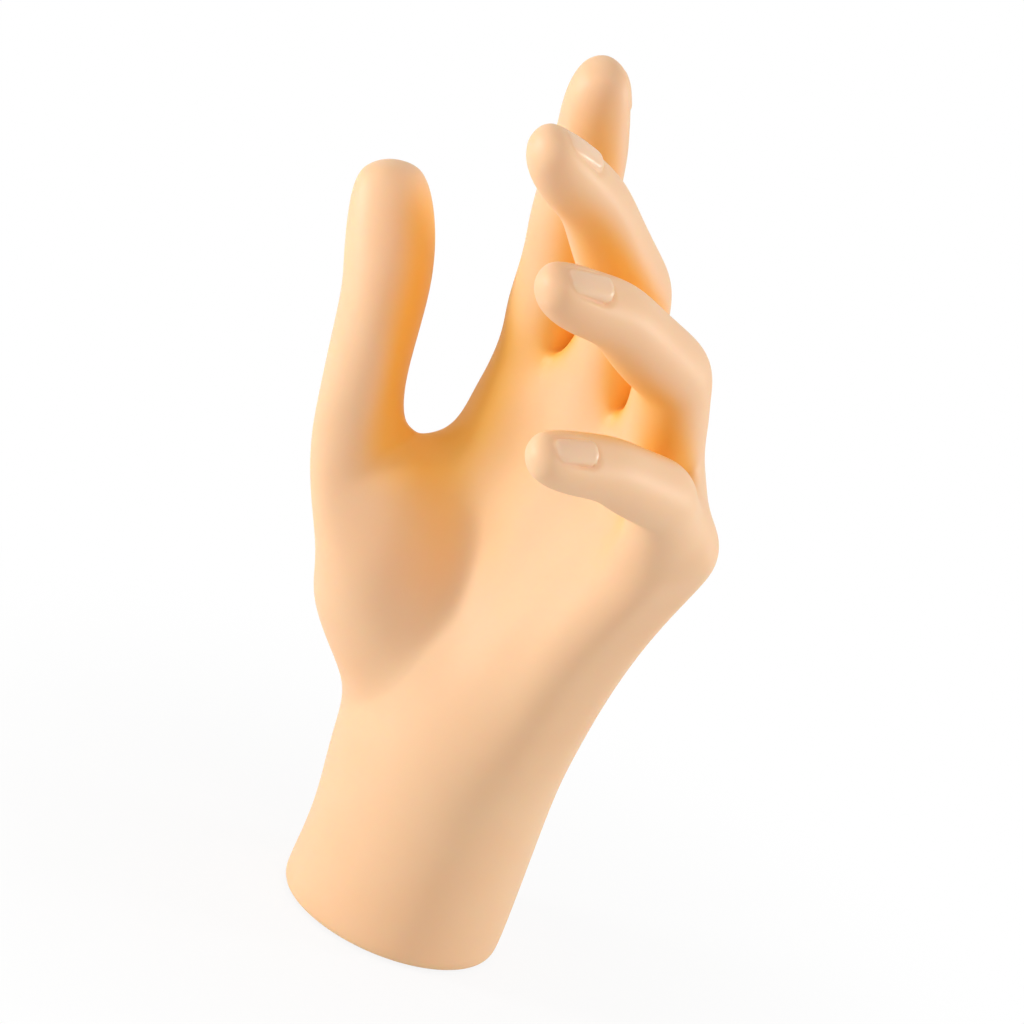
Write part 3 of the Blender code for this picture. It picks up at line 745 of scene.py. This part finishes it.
def build_cage():
    """The hand's quad cage in millimetres."""
    fingers = finger_table()
    bm = bmesh.new()
    crease = bm.edges.layers.float.new("crease_edge")
    tube = [add_ring(bm, row) for row in palm_rows(fingers)]
    root_row, loops = add_roots(bm, fingers)
    tube.append(root_row)
    for low, high in zip(tube, tube[1:]):
        bridge(bm, low, high)
    for (chain, widths), loop in zip(fingers, loops):
        points = limb_points(chain, STATIONS, widths, BACK_SHARE, PAD_SHARE,
                             [0.0] * len(STATIONS))
        add_limb(bm, loop, chain, points)
    loop, inner = thumb_loop(tube)
    bmesh.ops.delete(bm, geom=inner, context="VERTS")
    add_thumb(bm, loop)
    add_inner_walls(bm, tube[0], crease)
    for vert in bm.verts:
        vert.co = pushed(vert.co, SKIN_TRIMS)
    return bm


def ease_web(mesh):
    """Round off the bottom of the web between thumb and index finger."""
    bm = bmesh.new()
    bm.from_mesh(mesh)
    for step in range(EASE_ROUNDS):
        reach = (EASE_REACH - EASE_STEP * step) * MM
        near = [v for v in bm.verts if (v.co - Vector(WEB_BOTTOM) * MM).length < reach]
        bmesh.ops.smooth_vert(bm, verts=near, factor=0.5,
                              use_axis_x=True, use_axis_y=True, use_axis_z=True)
    bm.to_mesh(mesh)
    bm.free()


def rounded_box(s, t, length, half, radius):
    """Distance from a point to a rounded rectangle's outline, less than 0 inside."""
    p = abs(s - 0.5 * length) - 0.5 * length + radius
    q = abs(t) - half + radius
    return min(max(p, q), 0.0) + math.hypot(max(p, 0.0), max(q, 0.0)) - radius


def nail_at(point, chain, turn, half, height):
    """Cover of a nail plate at a point of a finger, the groove round it and the skin's rise."""
    joint, tip = chain.points[-2:]
    side, rise = chain.frame(2, 0.5)[1:]
    along = (point - joint).dot(chain.ways[-1])
    out = point - joint - chain.ways[-1] * along
    bone = (tip - joint).length
    angle = math.atan2(out.dot(rise), out.dot(side)) - math.radians(turn)
    end, reach, span = NAIL_LIMITS
    if not 0.0 < along < end * bone or out.length > reach or abs(angle) > span:
        return 0.0, 0.0, 0.0
    s = along - NAIL_SHARES[0] * bone
    t = angle * out.length
    length = (NAIL_SHARES[1] - NAIL_SHARES[0]) * bone
    edge = rounded_box(s, t, length, half, NAIL_CORNER * half)
    cover = min(1.0, max(0.0, 0.5 - edge / NAIL_EDGE))
    cover = cover * cover * (3.0 - 2.0 * cover)
    fade = 1.0 - NAIL_FADE * min(1.0, max(0.0, s / length))
    groove = math.exp(-((edge - 0.6 * NAIL_EDGE) / (0.8 * NAIL_EDGE)) ** 2) * fade
    lift = cover * (1.0 - NAIL_CROWN * (t / half) ** 2) * fade
    return cover, groove, height * (lift - NAIL_GROOVE * groove)


def raise_nails(mesh):
    """Lift five nail plates out of the skin, run them out at the tips, mark them and paint shadow
    into the groove round each.
    """
    chains = [chain for chain, widths in finger_table()] + [thumb_chain()]
    covers = []
    lifts = []
    for vert, fold in zip(mesh.vertices, mesh.attributes["fold"].data):
        found = [nail_at(vert.co / MM, chain, *nail) for chain, nail in zip(chains, NAILS)]
        cover, groove, lift = (sum(values) for values in zip(*found))
        covers.append(cover)
        lifts.append(vert.normal * (lift * MM))
        # Painted shadow in the groove round each nail, strongest at the cuticle
        fold.value += NAIL_GROOVE_SHADOW * groove * (1.0 - cover)
    for vert, lift in zip(mesh.vertices, lifts):
        vert.co += lift
    mesh.attributes.new("nail", "FLOAT", "POINT").data.foreach_set("value", covers)


def sky_ways(count):
    """Even directions all round, on a spiral from pole to pole."""
    turn = math.pi * (3.0 - math.sqrt(5.0))
    ways = []
    for k in range(count):
        z = 1.0 - (2.0 * k + 1.0) / count
        side = math.sqrt(1.0 - z * z)
        ways.append(Vector((side * math.cos(turn * k), side * math.sin(turn * k), z)))
    return ways


def spread_out(mesh, values, rounds):
    """Even out values over the skin by taking in each point's neighbours."""
    joined = [[] for value in values]
    for edge in mesh.edges:
        a, b = edge.vertices
        joined[a].append(b)
        joined[b].append(a)
    for step in range(rounds):
        values = [0.5 * value + 0.5 * sum(values[k] for k in near) / len(near)
                  for value, near in zip(values, joined)]
    return values


def paint_fold_shade(mesh, reach):
    """Store how far each point of the skin is shut in by the skin around it, as its share of
    painted shade.

    Along the web between thumb and index finger the thumb's painted shadow is added.
    """
    points = [v.co.copy() for v in mesh.vertices]
    walls = BVHTree.FromPolygons(points, [tuple(p.vertices) for p in mesh.polygons])
    ways = sky_ways(FOLD_WAYS)
    web = [Vector(spot) * MM for spot in THUMB_SHADOW_LINE]
    folds = []
    for vert in mesh.vertices:
        start = vert.co + vert.normal * (FOLD_START * MM)
        seen = [(way, way.dot(vert.normal)) for way in ways]
        seen = [(way, facing) for way, facing in seen if facing > FOLD_SLOPE]
        shut = sum(f for way, f in seen if walls.ray_cast(start, way, reach)[0])
        # Painted shadow of the thumb, strongest along its line on the web
        away = min((vert.co - spot).length for spot in web)
        near = math.exp(-(away / (THUMB_SHADOW_REACH * MM)) ** 2)
        folds.append(shut / sum(f for way, f in seen) + THUMB_SHADOW_TINT * near)
    folds = spread_out(mesh, folds, FOLD_ROUNDS)
    mesh.attributes.new("fold", "FLOAT", "POINT").data.foreach_set("value", folds)


def add_node(tree, kind, settings=(), values=(), links=()):
    """Add one node with its settings, socket values and incoming links."""
    node = tree.nodes.new(kind)
    for name, value in dict(settings).items():
        setattr(node, name, value)
    for socket, value in dict(values).items():
        node.inputs[socket].default_value = value
    for socket, source in dict(links).items():
        tree.links.new(source, node.inputs[socket])
    return node


def new_material(name, values):
    """Material with its constants on the shader's own sockets, and its object coordinates."""
    material = bpy.data.materials.new(name)
    material.use_nodes = True
    tree = material.node_tree
    shader = tree.nodes["Principled BSDF"]
    for socket, value in values.items():
        shader.inputs[socket].default_value = value
    place = add_node(tree, "ShaderNodeTexCoord").outputs["Object"]
    return material, tree, shader, place


def add_grain(tree, shader, place, size, detail, gloss, bump):
    """Fine grain that varies the gloss and raises the surface, with sizes in millimetres."""
    grain = add_node(tree, "ShaderNodeTexNoise", links={"Vector": place},
                     values={"Scale": 1.0 / (size * MM), "Detail": detail})
    rough = add_node(tree, "ShaderNodeMapRange", links={"Value": grain.outputs["Fac"]},
                     values={"To Min": gloss[0], "To Max": gloss[1]})
    tree.links.new(rough.outputs["Result"], shader.inputs["Roughness"])
    raised = add_node(tree, "ShaderNodeBump", links={"Height": grain.outputs["Fac"]},
                      values={"Strength": bump[0], "Distance": bump[1] * MM})
    tree.links.new(raised.outputs["Normal"], shader.inputs["Normal"])
    return rough.outputs["Result"]


def rotocast_vinyl(colours):
    """Soft vinyl cast in a warm mould, satin and peach, with painted shade in deep orange where
    the skin folds in, the thumb's painted shadow on the web and painted shadow in the nails'
    grooves.
    """
    material, tree, shader, place = new_material("rotocast_soft_vinyl", {
        "IOR": 1.53, "Subsurface Weight": 0.4, "Subsurface Scale": 0.004,
        "Subsurface Radius": (1.0, 0.5, 0.2)})
    clouds = add_node(tree, "ShaderNodeTexNoise", links={"Vector": place},
                      values={"Scale": 1.0 / (24.0 * MM), "Detail": 2.0})
    tone = add_node(tree, "ShaderNodeMix", RGBA,
                    {6: (*colours.skin, 1.0), 7: (*colours.flush, 1.0)},
                    {0: clouds.outputs["Fac"]})
    # Painted shade: the stored share of painted shade mixes deep orange over the vinyl's tone
    # where the skin is shut in, where the thumb's shadow is painted on the web and in the grooves
    # round the nails
    fold = add_node(tree, "ShaderNodeAttribute", {"attribute_name": "fold"})
    depth = add_node(tree, "ShaderNodeMapRange", SMOOTH,
                     {"From Min": 0.09, "From Max": 0.47}, {"Value": fold.outputs["Fac"]})
    warm = add_node(tree, "ShaderNodeMix", RGBA, {7: (*colours.fold, 1.0)},
                    {0: depth.outputs["Result"], 6: tone.outputs[2]})
    plate = add_node(tree, "ShaderNodeAttribute", {"attribute_name": "nail"})
    edge = add_node(tree, "ShaderNodeMapRange", SMOOTH,
                    {"From Min": 0.35, "From Max": 0.75}, {"Value": plate.outputs["Fac"]})
    nails = add_node(tree, "ShaderNodeMix", RGBA, {7: (*colours.nail, 1.0)},
                     {0: edge.outputs["Result"], 6: warm.outputs[2]})
    tree.links.new(nails.outputs[2], shader.inputs["Base Color"])
    gloss = add_grain(tree, shader, place, 0.8, 3.0, (0.46, 0.58), (0.10, 0.05))
    polish = add_node(tree, "ShaderNodeMath", {"operation": "MULTIPLY_ADD"}, {1: -0.18},
                      {0: edge.outputs["Result"], 2: gloss})
    tree.links.new(polish.outputs[0], shader.inputs["Roughness"])
    return material


def grained_finish(name, colour, shade, grains, gloss, values):
    """Finish with two tones, a varying gloss and a raised grain of the given millimetres."""
    material, tree, shader, place = new_material(name, values)
    broad = add_node(tree, "ShaderNodeTexNoise", links={"Vector": place},
                     values={"Scale": 1.0 / (grains[0] * MM), "Detail": 3.0})
    tone = add_node(tree, "ShaderNodeMix", RGBA,
                    {6: (*(c * shade for c in colour), 1.0), 7: (*colour, 1.0)},
                    {0: broad.outputs["Fac"]})
    tree.links.new(tone.outputs[2], shader.inputs["Base Color"])
    add_grain(tree, shader, place, grains[1], 4.0, gloss[:2], (gloss[2], 0.06))
    return material


class DISPLAYHAND_OT_add_skin(bpy.types.Operator):
    """Build the moulded skin of the hand"""

    bl_idname = "display_hand.add_skin"
    bl_label = "Add moulded skin"

    def execute(self, context):
        sizes = context.scene.display_hand_skin
        hand = link_mesh("hand_skin", build_cage(), rotocast_vinyl(sizes))
        subdivide(hand, sizes.smoothing - 1)
        ease_web(hand.data)
        # Store the painted shade of the folds and the thumb's painted shadow on the web
        paint_fold_shade(hand.data, sizes.fold_reach)
        subdivide(hand, 1)
        raise_nails(hand.data)
        shade_smooth(hand, 60.0)
        stand_for(hand, "hand", "soft_vinyl", "hand_shell")
        return {"FINISHED"}


def round_corners(profile, radius):
    """Turn each inner corner of a profile into a short curve."""
    rounded = [profile[0]]
    for before, corner, after in zip(profile, profile[1:], profile[2:]):
        ends = []
        for other in (before, after):
            leg = (other[0] - corner[0], other[1] - corner[1])
            share = min(radius / math.hypot(*leg), LONGEST_ROUNDING)
            ends.append((corner[0] + leg[0] * share, corner[1] + leg[1] * share))
        for t in (0.0, 0.25, 0.5, 0.75, 1.0):
            weights = ((1.0 - t) ** 2, 2.0 * t * (1.0 - t), t * t)
            knots = (ends[0], corner, ends[1])
            rounded.append(tuple(sum(w * p[i] for w, p in zip(weights, knots)) for i in (0, 1)))
    rounded.append(profile[-1])
    return rounded


def oval_piece(name, profile, radius, material=None):
    """Closed piece that follows the wrist's oval through a profile of inset and height."""
    bm = bmesh.new()
    rings = round_corners(profile, radius)
    loft(bm, [oval_ring(OVAL_SEGMENTS, inset, height) for inset, height in rings])
    return link_mesh(name, bm, material)


def round_piece(name, x, profile):
    bm = bmesh.new()
    loft(bm, [circle(x, radius, height) for radius, height in profile])
    return link_mesh(name, bm)


class DISPLAYHAND_OT_add_plug(bpy.types.Operator):
    """Build the flanged cup plug with its two screw bosses"""

    bl_idname = "display_hand.add_plug"
    bl_label = "Add base plug"

    def execute(self, context):
        sizes = context.scene.display_hand_base
        flange = SEAT_INSET + FIT_GAP
        neck = MOUTH_INSET + FIT_GAP
        inside = neck + PLUG_WALL
        top = PLUG_BOTTOM + PLUG_HEIGHT
        profile = ((flange + FACE_RING, PLUG_BOTTOM), (flange, PLUG_BOTTOM), (flange, FLANGE_TOP),
                   (neck, FLANGE_TOP), (neck, top), (inside, top), (inside, CUP_FLOOR),
                   (inside + FACE_RING, CUP_FLOOR))
        values = {"IOR": 1.49, "Subsurface Weight": 0.1, "Subsurface Scale": 0.002}
        finish = grained_finish("spark_textured_polypropylene", sizes.plug, 0.86, (9.0, 0.35),
                                (0.42, 0.58, 0.25), values)
        plug = oval_piece("moulded_plug", profile, sizes.rounding / MM, finish)
        boss_top = WEIGHT_TOP - FIT_GAP
        for x in (-BOSS_OFFSET, BOSS_OFFSET):
            boss = round_piece("boss", x, ((BOSS_RADIUS, CUP_FLOOR - BOSS_ROOT),
                                           (BOSS_RADIUS, boss_top - BOSS_CHAMFER),
                                           (BOSS_RADIUS - BOSS_CHAMFER, boss_top)))
            cut(plug, boss, "UNION")
            low = boss_top - SCREW_LENGTH - PILOT_SPARE
            cut(plug, round_piece("pilot", x, ((PILOT_RADIUS, low),
                                               (PILOT_RADIUS, boss_top + PILOT_SPARE))))
        shade_smooth(plug, 35.0)
        stand_for(plug, "base", "moulded_plug", "base_plug")
        return {"FINISHED"}


class DISPLAYHAND_OT_add_weight(bpy.types.Operator):
    """Build the plated steel weight with its two boss holes"""

    bl_idname = "display_hand.add_weight"
    bl_label = "Add steel weight"

    def execute(self, context):
        sizes = context.scene.display_hand_base
        inset = MOUTH_INSET + FIT_GAP + PLUG_WALL + FIT_GAP
        profile = ((inset + WEIGHT_RING, WEIGHT_BOTTOM), (inset, WEIGHT_BOTTOM),
                   (inset, WEIGHT_TOP), (inset + WEIGHT_RING, WEIGHT_TOP))
        finish = grained_finish("zinc_plated_steel", sizes.steel, 0.8, (3.0, 0.5),
                                (0.32, 0.5, 0.2), {"Metallic": 1.0})
        weight = oval_piece("steel_weight", profile, WEIGHT_CHAMFER, finish)
        radius = BOSS_RADIUS + FIT_GAP
        for x in (-BOSS_OFFSET, BOSS_OFFSET):
            cut(weight, round_piece("hole", x, ((radius, WEIGHT_BOTTOM - PILOT_SPARE),
                                                (radius, WEIGHT_TOP + PILOT_SPARE))))
        shade_smooth(weight, 35.0)
        stand_for(weight, "base", "plated_steel", "ballast_weight")
        return {"FINISHED"}


def thread_radius(height, angle, pitch):
    """Radius of the threaded shank, a sharp ridge that climbs one pitch a turn."""
    place = (height / pitch - angle / (2.0 * math.pi)) % 1.0
    return SCREW_RADIUS - SCREW_THREAD * abs(2.0 * place - 1.0)


def thread_rings(low, high, pitch):
    rings = []
    steps = int((high - low) / (pitch / SCREW_STEPS))
    for k in range(steps + 1):
        height = low + (high - low) * k / steps
        point = min(1.0, SCREW_TIP + (height - low) / SCREW_POINT)
        ring = []
        for angle in turns(ROUND_SEGMENTS):
            radius = point * thread_radius(height, angle, pitch)
            ring.append(Vector((radius * math.cos(angle), radius * math.sin(angle), height)))
        rings.append(ring)
    return rings


def build_screw(pitch):
    """One washer-head screw on the middle axis, with thread and cross recess."""
    head = WEIGHT_TOP + FIT_GAP
    crown = head + SCREW_HEAD_HEIGHT
    step = head + SCREW_FLANGE
    profile = ((SCREW_RADIUS, head), (SCREW_HEAD_RADIUS, head), (SCREW_HEAD_RADIUS, step),
               (SCREW_CROWN_RADIUS, step), (SCREW_CROWN_RADIUS, crown), (SCREW_FLAT, crown))
    bm = bmesh.new()
    rings = thread_rings(head - SCREW_LENGTH, head - SCREW_NECK, pitch)
    rings += [circle(0.0, *ring) for ring in round_corners(profile, SCREW_ROUNDING)]
    loft(bm, rings)
    screw = link_mesh("washer_head_screw", bm)
    high = 0.5 * SCREW_SLOT_LENGTH
    deep = SCREW_SLOT_DEPTH + SCREW_SLOT_SPARE
    place = Matrix.Translation((0.0, 0.0, crown - 0.5 * deep + SCREW_SLOT_SPARE))
    narrow = Matrix.Diagonal((1.0, SCREW_SLOT_WIDTH / SCREW_SLOT_LENGTH, 1.0, 1.0))
    for turn in (0.0, 90.0):
        bm = bmesh.new()
        bmesh.ops.create_cone(bm, cap_ends=True, segments=4, radius1=high - SCREW_SLOT_TAPER,
                              radius2=high, depth=deep)
        bm.transform(place @ Matrix.Rotation(math.radians(turn), 4, "Z") @ narrow)
        cut(screw, link_mesh("recess", bm))
    return shade_smooth(screw, 40.0)


def screw_row():
    """Node tree that sets one screw at each end of a row and gives them their finish."""
    tree = bpy.data.node_groups.new("screw_row", "GeometryNodeTree")
    for name, way, kind in (("Screw", "INPUT", "Object"), ("Spacing", "INPUT", "Float"),
                            ("Finish", "INPUT", "Material"), ("Geometry", "OUTPUT", "Geometry")):
        tree.interface.new_socket(name, in_out=way, socket_type="NodeSocket" + kind)
    given = add_node(tree, "NodeGroupInput").outputs
    half = add_node(tree, "ShaderNodeMath", {"operation": "MULTIPLY"}, {1: -0.5},
                    {0: given["Spacing"]})
    first = add_node(tree, "ShaderNodeCombineXYZ", links={"X": half.outputs[0]})
    step = add_node(tree, "ShaderNodeCombineXYZ", links={"X": given["Spacing"]})
    row = add_node(tree, "GeometryNodeMeshLine", {"mode": "OFFSET"}, {"Count": 2},
                   {"Start Location": first.outputs[0], "Offset": step.outputs[0]})
    piece = add_node(tree, "GeometryNodeObjectInfo", links={"Object": given["Screw"]})
    placed = add_node(tree, "GeometryNodeInstanceOnPoints", links={
        "Points": row.outputs["Mesh"], "Instance": piece.outputs["Geometry"]})
    real = add_node(tree, "GeometryNodeRealizeInstances",
                    links={"Geometry": placed.outputs["Instances"]})
    done = add_node(tree, "GeometryNodeSetMaterial",
                    links={"Geometry": real.outputs["Geometry"], "Material": given["Finish"]})
    add_node(tree, "NodeGroupOutput", links={"Geometry": done.outputs["Geometry"]})
    return tree


class DISPLAYHAND_OT_add_screws(bpy.types.Operator):
    """Build the two washer-head screws that hold the weight"""

    bl_idname = "display_hand.add_screws"
    bl_label = "Add weight screws"

    def execute(self, context):
        sizes = context.scene.display_hand_base
        finish = grained_finish("bright_zinc", sizes.zinc, 0.85, (1.5, 0.3),
                                (0.22, 0.36, 0.12), {"Metallic": 1.0})
        screw = build_screw(sizes.thread_pitch / MM)
        pair = link_mesh("weight_screws", bmesh.new())
        row = pair.modifiers.new("screw_row", "NODES")
        row.node_group = screw_row()
        values = {"Screw": screw, "Spacing": 2.0 * BOSS_OFFSET * MM, "Finish": finish}
        for item in row.node_group.interface.items_tree:
            if item.in_out == "INPUT":
                row[item.identifier] = values[item.name]
        bake(pair)
        bpy.data.objects.remove(screw, do_unlink=True)
        if len(pair.data.polygons) == 0:
            raise RuntimeError("the screw row came out empty")
        stand_for(pair, "base", "zinc_screw", "ballast_screw_left", "ballast_screw_right")
        return {"FINISHED"}


class DISPLAYHAND_OT_add_pad(bpy.types.Operator):
    """Build the non-slip pad under the plug"""

    bl_idname = "display_hand.add_pad"
    bl_label = "Add non-slip pad"

    def execute(self, context):
        sizes = context.scene.display_hand_base
        profile = ((PAD_INSET + FACE_RING, 0.0), (PAD_INSET, 0.0), (PAD_INSET, PAD_THICK),
                   (PAD_INSET + FACE_RING, PAD_THICK))
        finish = grained_finish("matt_rubber", sizes.pad, 0.6, (6.0, 0.45),
                                (0.78, 0.95, 0.5), {"IOR": 1.52, "Specular IOR Level": 0.3})
        pad = shade_smooth(oval_piece("rubber_pad", profile, PAD_CHAMFER, finish), 40.0)
        stand_for(pad, "base", "rubber_pad", "base_pad")
        return {"FINISHED"}


def camera_axes():
    """Right, up and back directions of the photograph's camera."""
    tilt, roll, turn = (math.radians(a) for a in (CAMERA_TILT, CAMERA_ROLL, CAMERA_TURN))
    rise = Vector((math.sin(roll) * math.cos(tilt), math.cos(roll) * math.cos(tilt),
                   math.sin(tilt)))
    across = Vector((math.cos(roll), -math.sin(roll), 0.0))
    other = across.cross(rise)
    side = across * math.cos(turn) + other * math.sin(turn)
    palm = -across * math.sin(turn) + other * math.cos(turn)
    return Matrix((side, -palm, rise)).transposed()


def add_camera():
    right, up, back = camera_axes()
    spot = Vector(CAMERA_TARGET) + right * CAMERA_SHIFT[0] + up * CAMERA_SHIFT[1]
    spot = (spot + back * CAMERA_DISTANCE) * MM
    camera = link_data("photo_camera", bpy.data.cameras.new("photo_camera"))
    turn = Matrix((right, up, back)).transposed().to_4x4()
    camera.matrix_world = Matrix.Translation(spot) @ turn
    camera.data.sensor_width = 36.0
    camera.data.lens = CAMERA_LENS
    camera.data.clip_start = 0.01
    bpy.context.scene.camera = camera


def add_lamp(name, place, size, power):
    """Square soft light at a place given along the camera's right, up and back."""
    right, up, back = camera_axes()
    aim = Vector(LAMP_AIM)
    spot = aim + right * place[0] + up * place[1] + back * place[2]
    lamp = bpy.data.lights.new(name, "AREA")
    lamp.size = size
    lamp.energy = power
    thing = link_data(name, lamp)
    thing.location = spot
    thing.rotation_euler = (aim - spot).to_track_quat("-Z", "Y").to_euler()


def add_world(strength):
    world = bpy.data.worlds.new("studio_room")
    bpy.context.scene.world = world
    world.use_nodes = True
    tree = world.node_tree
    tree.nodes.clear()
    rays = add_node(tree, "ShaderNodeLightPath")
    seen = add_node(tree, "ShaderNodeMath", {"operation": "MAXIMUM"},
                    links={0: rays.outputs["Is Camera Ray"], 1: rays.outputs["Is Glossy Ray"]})
    shown = add_node(tree, "ShaderNodeMath", {"operation": "MAXIMUM"},
                     links={0: seen.outputs[0], 1: rays.outputs["Is Transmission Ray"]})
    level = add_node(tree, "ShaderNodeMapRange", values={"To Min": strength, "To Max": 1.0},
                     links={"Value": shown.outputs[0]})
    sky = add_node(tree, "ShaderNodeBackground", values={"Color": WHITE},
                   links={"Strength": level.outputs["Result"]})
    add_node(tree, "ShaderNodeOutputWorld", links={"Surface": sky.outputs["Background"]})


def paper_floor(colour):
    """White paper that keeps a soft shadow near the hand and runs out to plain white."""
    material, tree, shader, place = new_material("white_paper", {
        "Base Color": (*colour, 1.0), "Roughness": 0.95, "Specular IOR Level": 0.1})
    far = add_node(tree, "ShaderNodeVectorMath", {"operation": "LENGTH"}, links={0: place})
    lift = add_node(tree, "ShaderNodeMapRange", SMOOTH,
                    {"From Min": 0.03, "From Max": 0.16, "To Min": 0.88, "To Max": 1.0},
                    {"Value": far.outputs["Value"]})
    rays = add_node(tree, "ShaderNodeLightPath")
    seen = add_node(tree, "ShaderNodeMath", {"operation": "MULTIPLY"},
                    links={0: rays.outputs["Is Camera Ray"], 1: lift.outputs["Result"]})
    glow = add_node(tree, "ShaderNodeEmission", values={"Color": WHITE})
    show = add_node(tree, "ShaderNodeMixShader", links={
        0: seen.outputs[0], 1: shader.outputs["BSDF"], 2: glow.outputs["Emission"]})
    tree.links.new(show.outputs["Shader"], tree.nodes["Material Output"].inputs["Surface"])
    return material


class DISPLAYHAND_OT_set_stage(bpy.types.Operator):
    """Add the floor, the lights and the camera"""

    bl_idname = "display_hand.set_stage"
    bl_label = "Set the stage"

    def execute(self, context):
        sizes = context.scene.display_hand_stage
        context.scene.view_settings.view_transform = "Standard"
        add_camera()
        add_world(sizes.sky)
        add_lamp("key_light", *KEY_LAMP, sizes.key_power)
        add_lamp("back_light", *BACK_LAMP, sizes.back_power)
        add_lamp("fill_light", *FILL_LAMP, sizes.fill_power)
        bm = bmesh.new()
        bmesh.ops.create_grid(bm, x_segments=1, y_segments=1, size=FLOOR_HALF)
        bmesh.ops.translate(bm, vec=(0.0, 0.0, -FLOOR_DROP), verts=bm.verts)
        floor = link_mesh("floor", bm, paper_floor(sizes.floor))
        return {"FINISHED"}


class DISPLAYHAND_PT_panel(bpy.types.Panel):
    """Sidebar list of the hand's build steps"""

    bl_idname = "DISPLAYHAND_PT_panel"
    bl_label = "Display hand"
    bl_space_type = "VIEW_3D"
    bl_region_type = "UI"
    bl_category = "Display hand"

    def draw(self, context):
        for step in STEPS:
            self.layout.operator(step.bl_idname)


STEPS = (DISPLAYHAND_OT_set_stage, DISPLAYHAND_OT_add_skin, DISPLAYHAND_OT_add_plug,
         DISPLAYHAND_OT_add_weight, DISPLAYHAND_OT_add_screws, DISPLAYHAND_OT_add_pad)
GROUPS = (SkinSettings, BaseSettings, StageSettings)


def register():
    for item in GROUPS + STEPS + (DISPLAYHAND_PT_panel,):
        bpy.utils.register_class(item)
    bpy.types.Scene.display_hand_skin = PointerProperty(type=SkinSettings)
    bpy.types.Scene.display_hand_base = PointerProperty(type=BaseSettings)
    bpy.types.Scene.display_hand_stage = PointerProperty(type=StageSettings)


def unregister():
    del bpy.types.Scene.display_hand_stage
    del bpy.types.Scene.display_hand_base
    del bpy.types.Scene.display_hand_skin
    for item in reversed(GROUPS + STEPS + (DISPLAYHAND_PT_panel,)):
        bpy.utils.unregister_class(item)


def main():
    register()
    bpy.ops.display_hand.set_stage()
    bpy.ops.display_hand.add_skin()
    bpy.ops.display_hand.add_plug()
    bpy.ops.display_hand.add_weight()
    bpy.ops.display_hand.add_screws()
    bpy.ops.display_hand.add_pad()


if __name__ == "__main__":
    main()
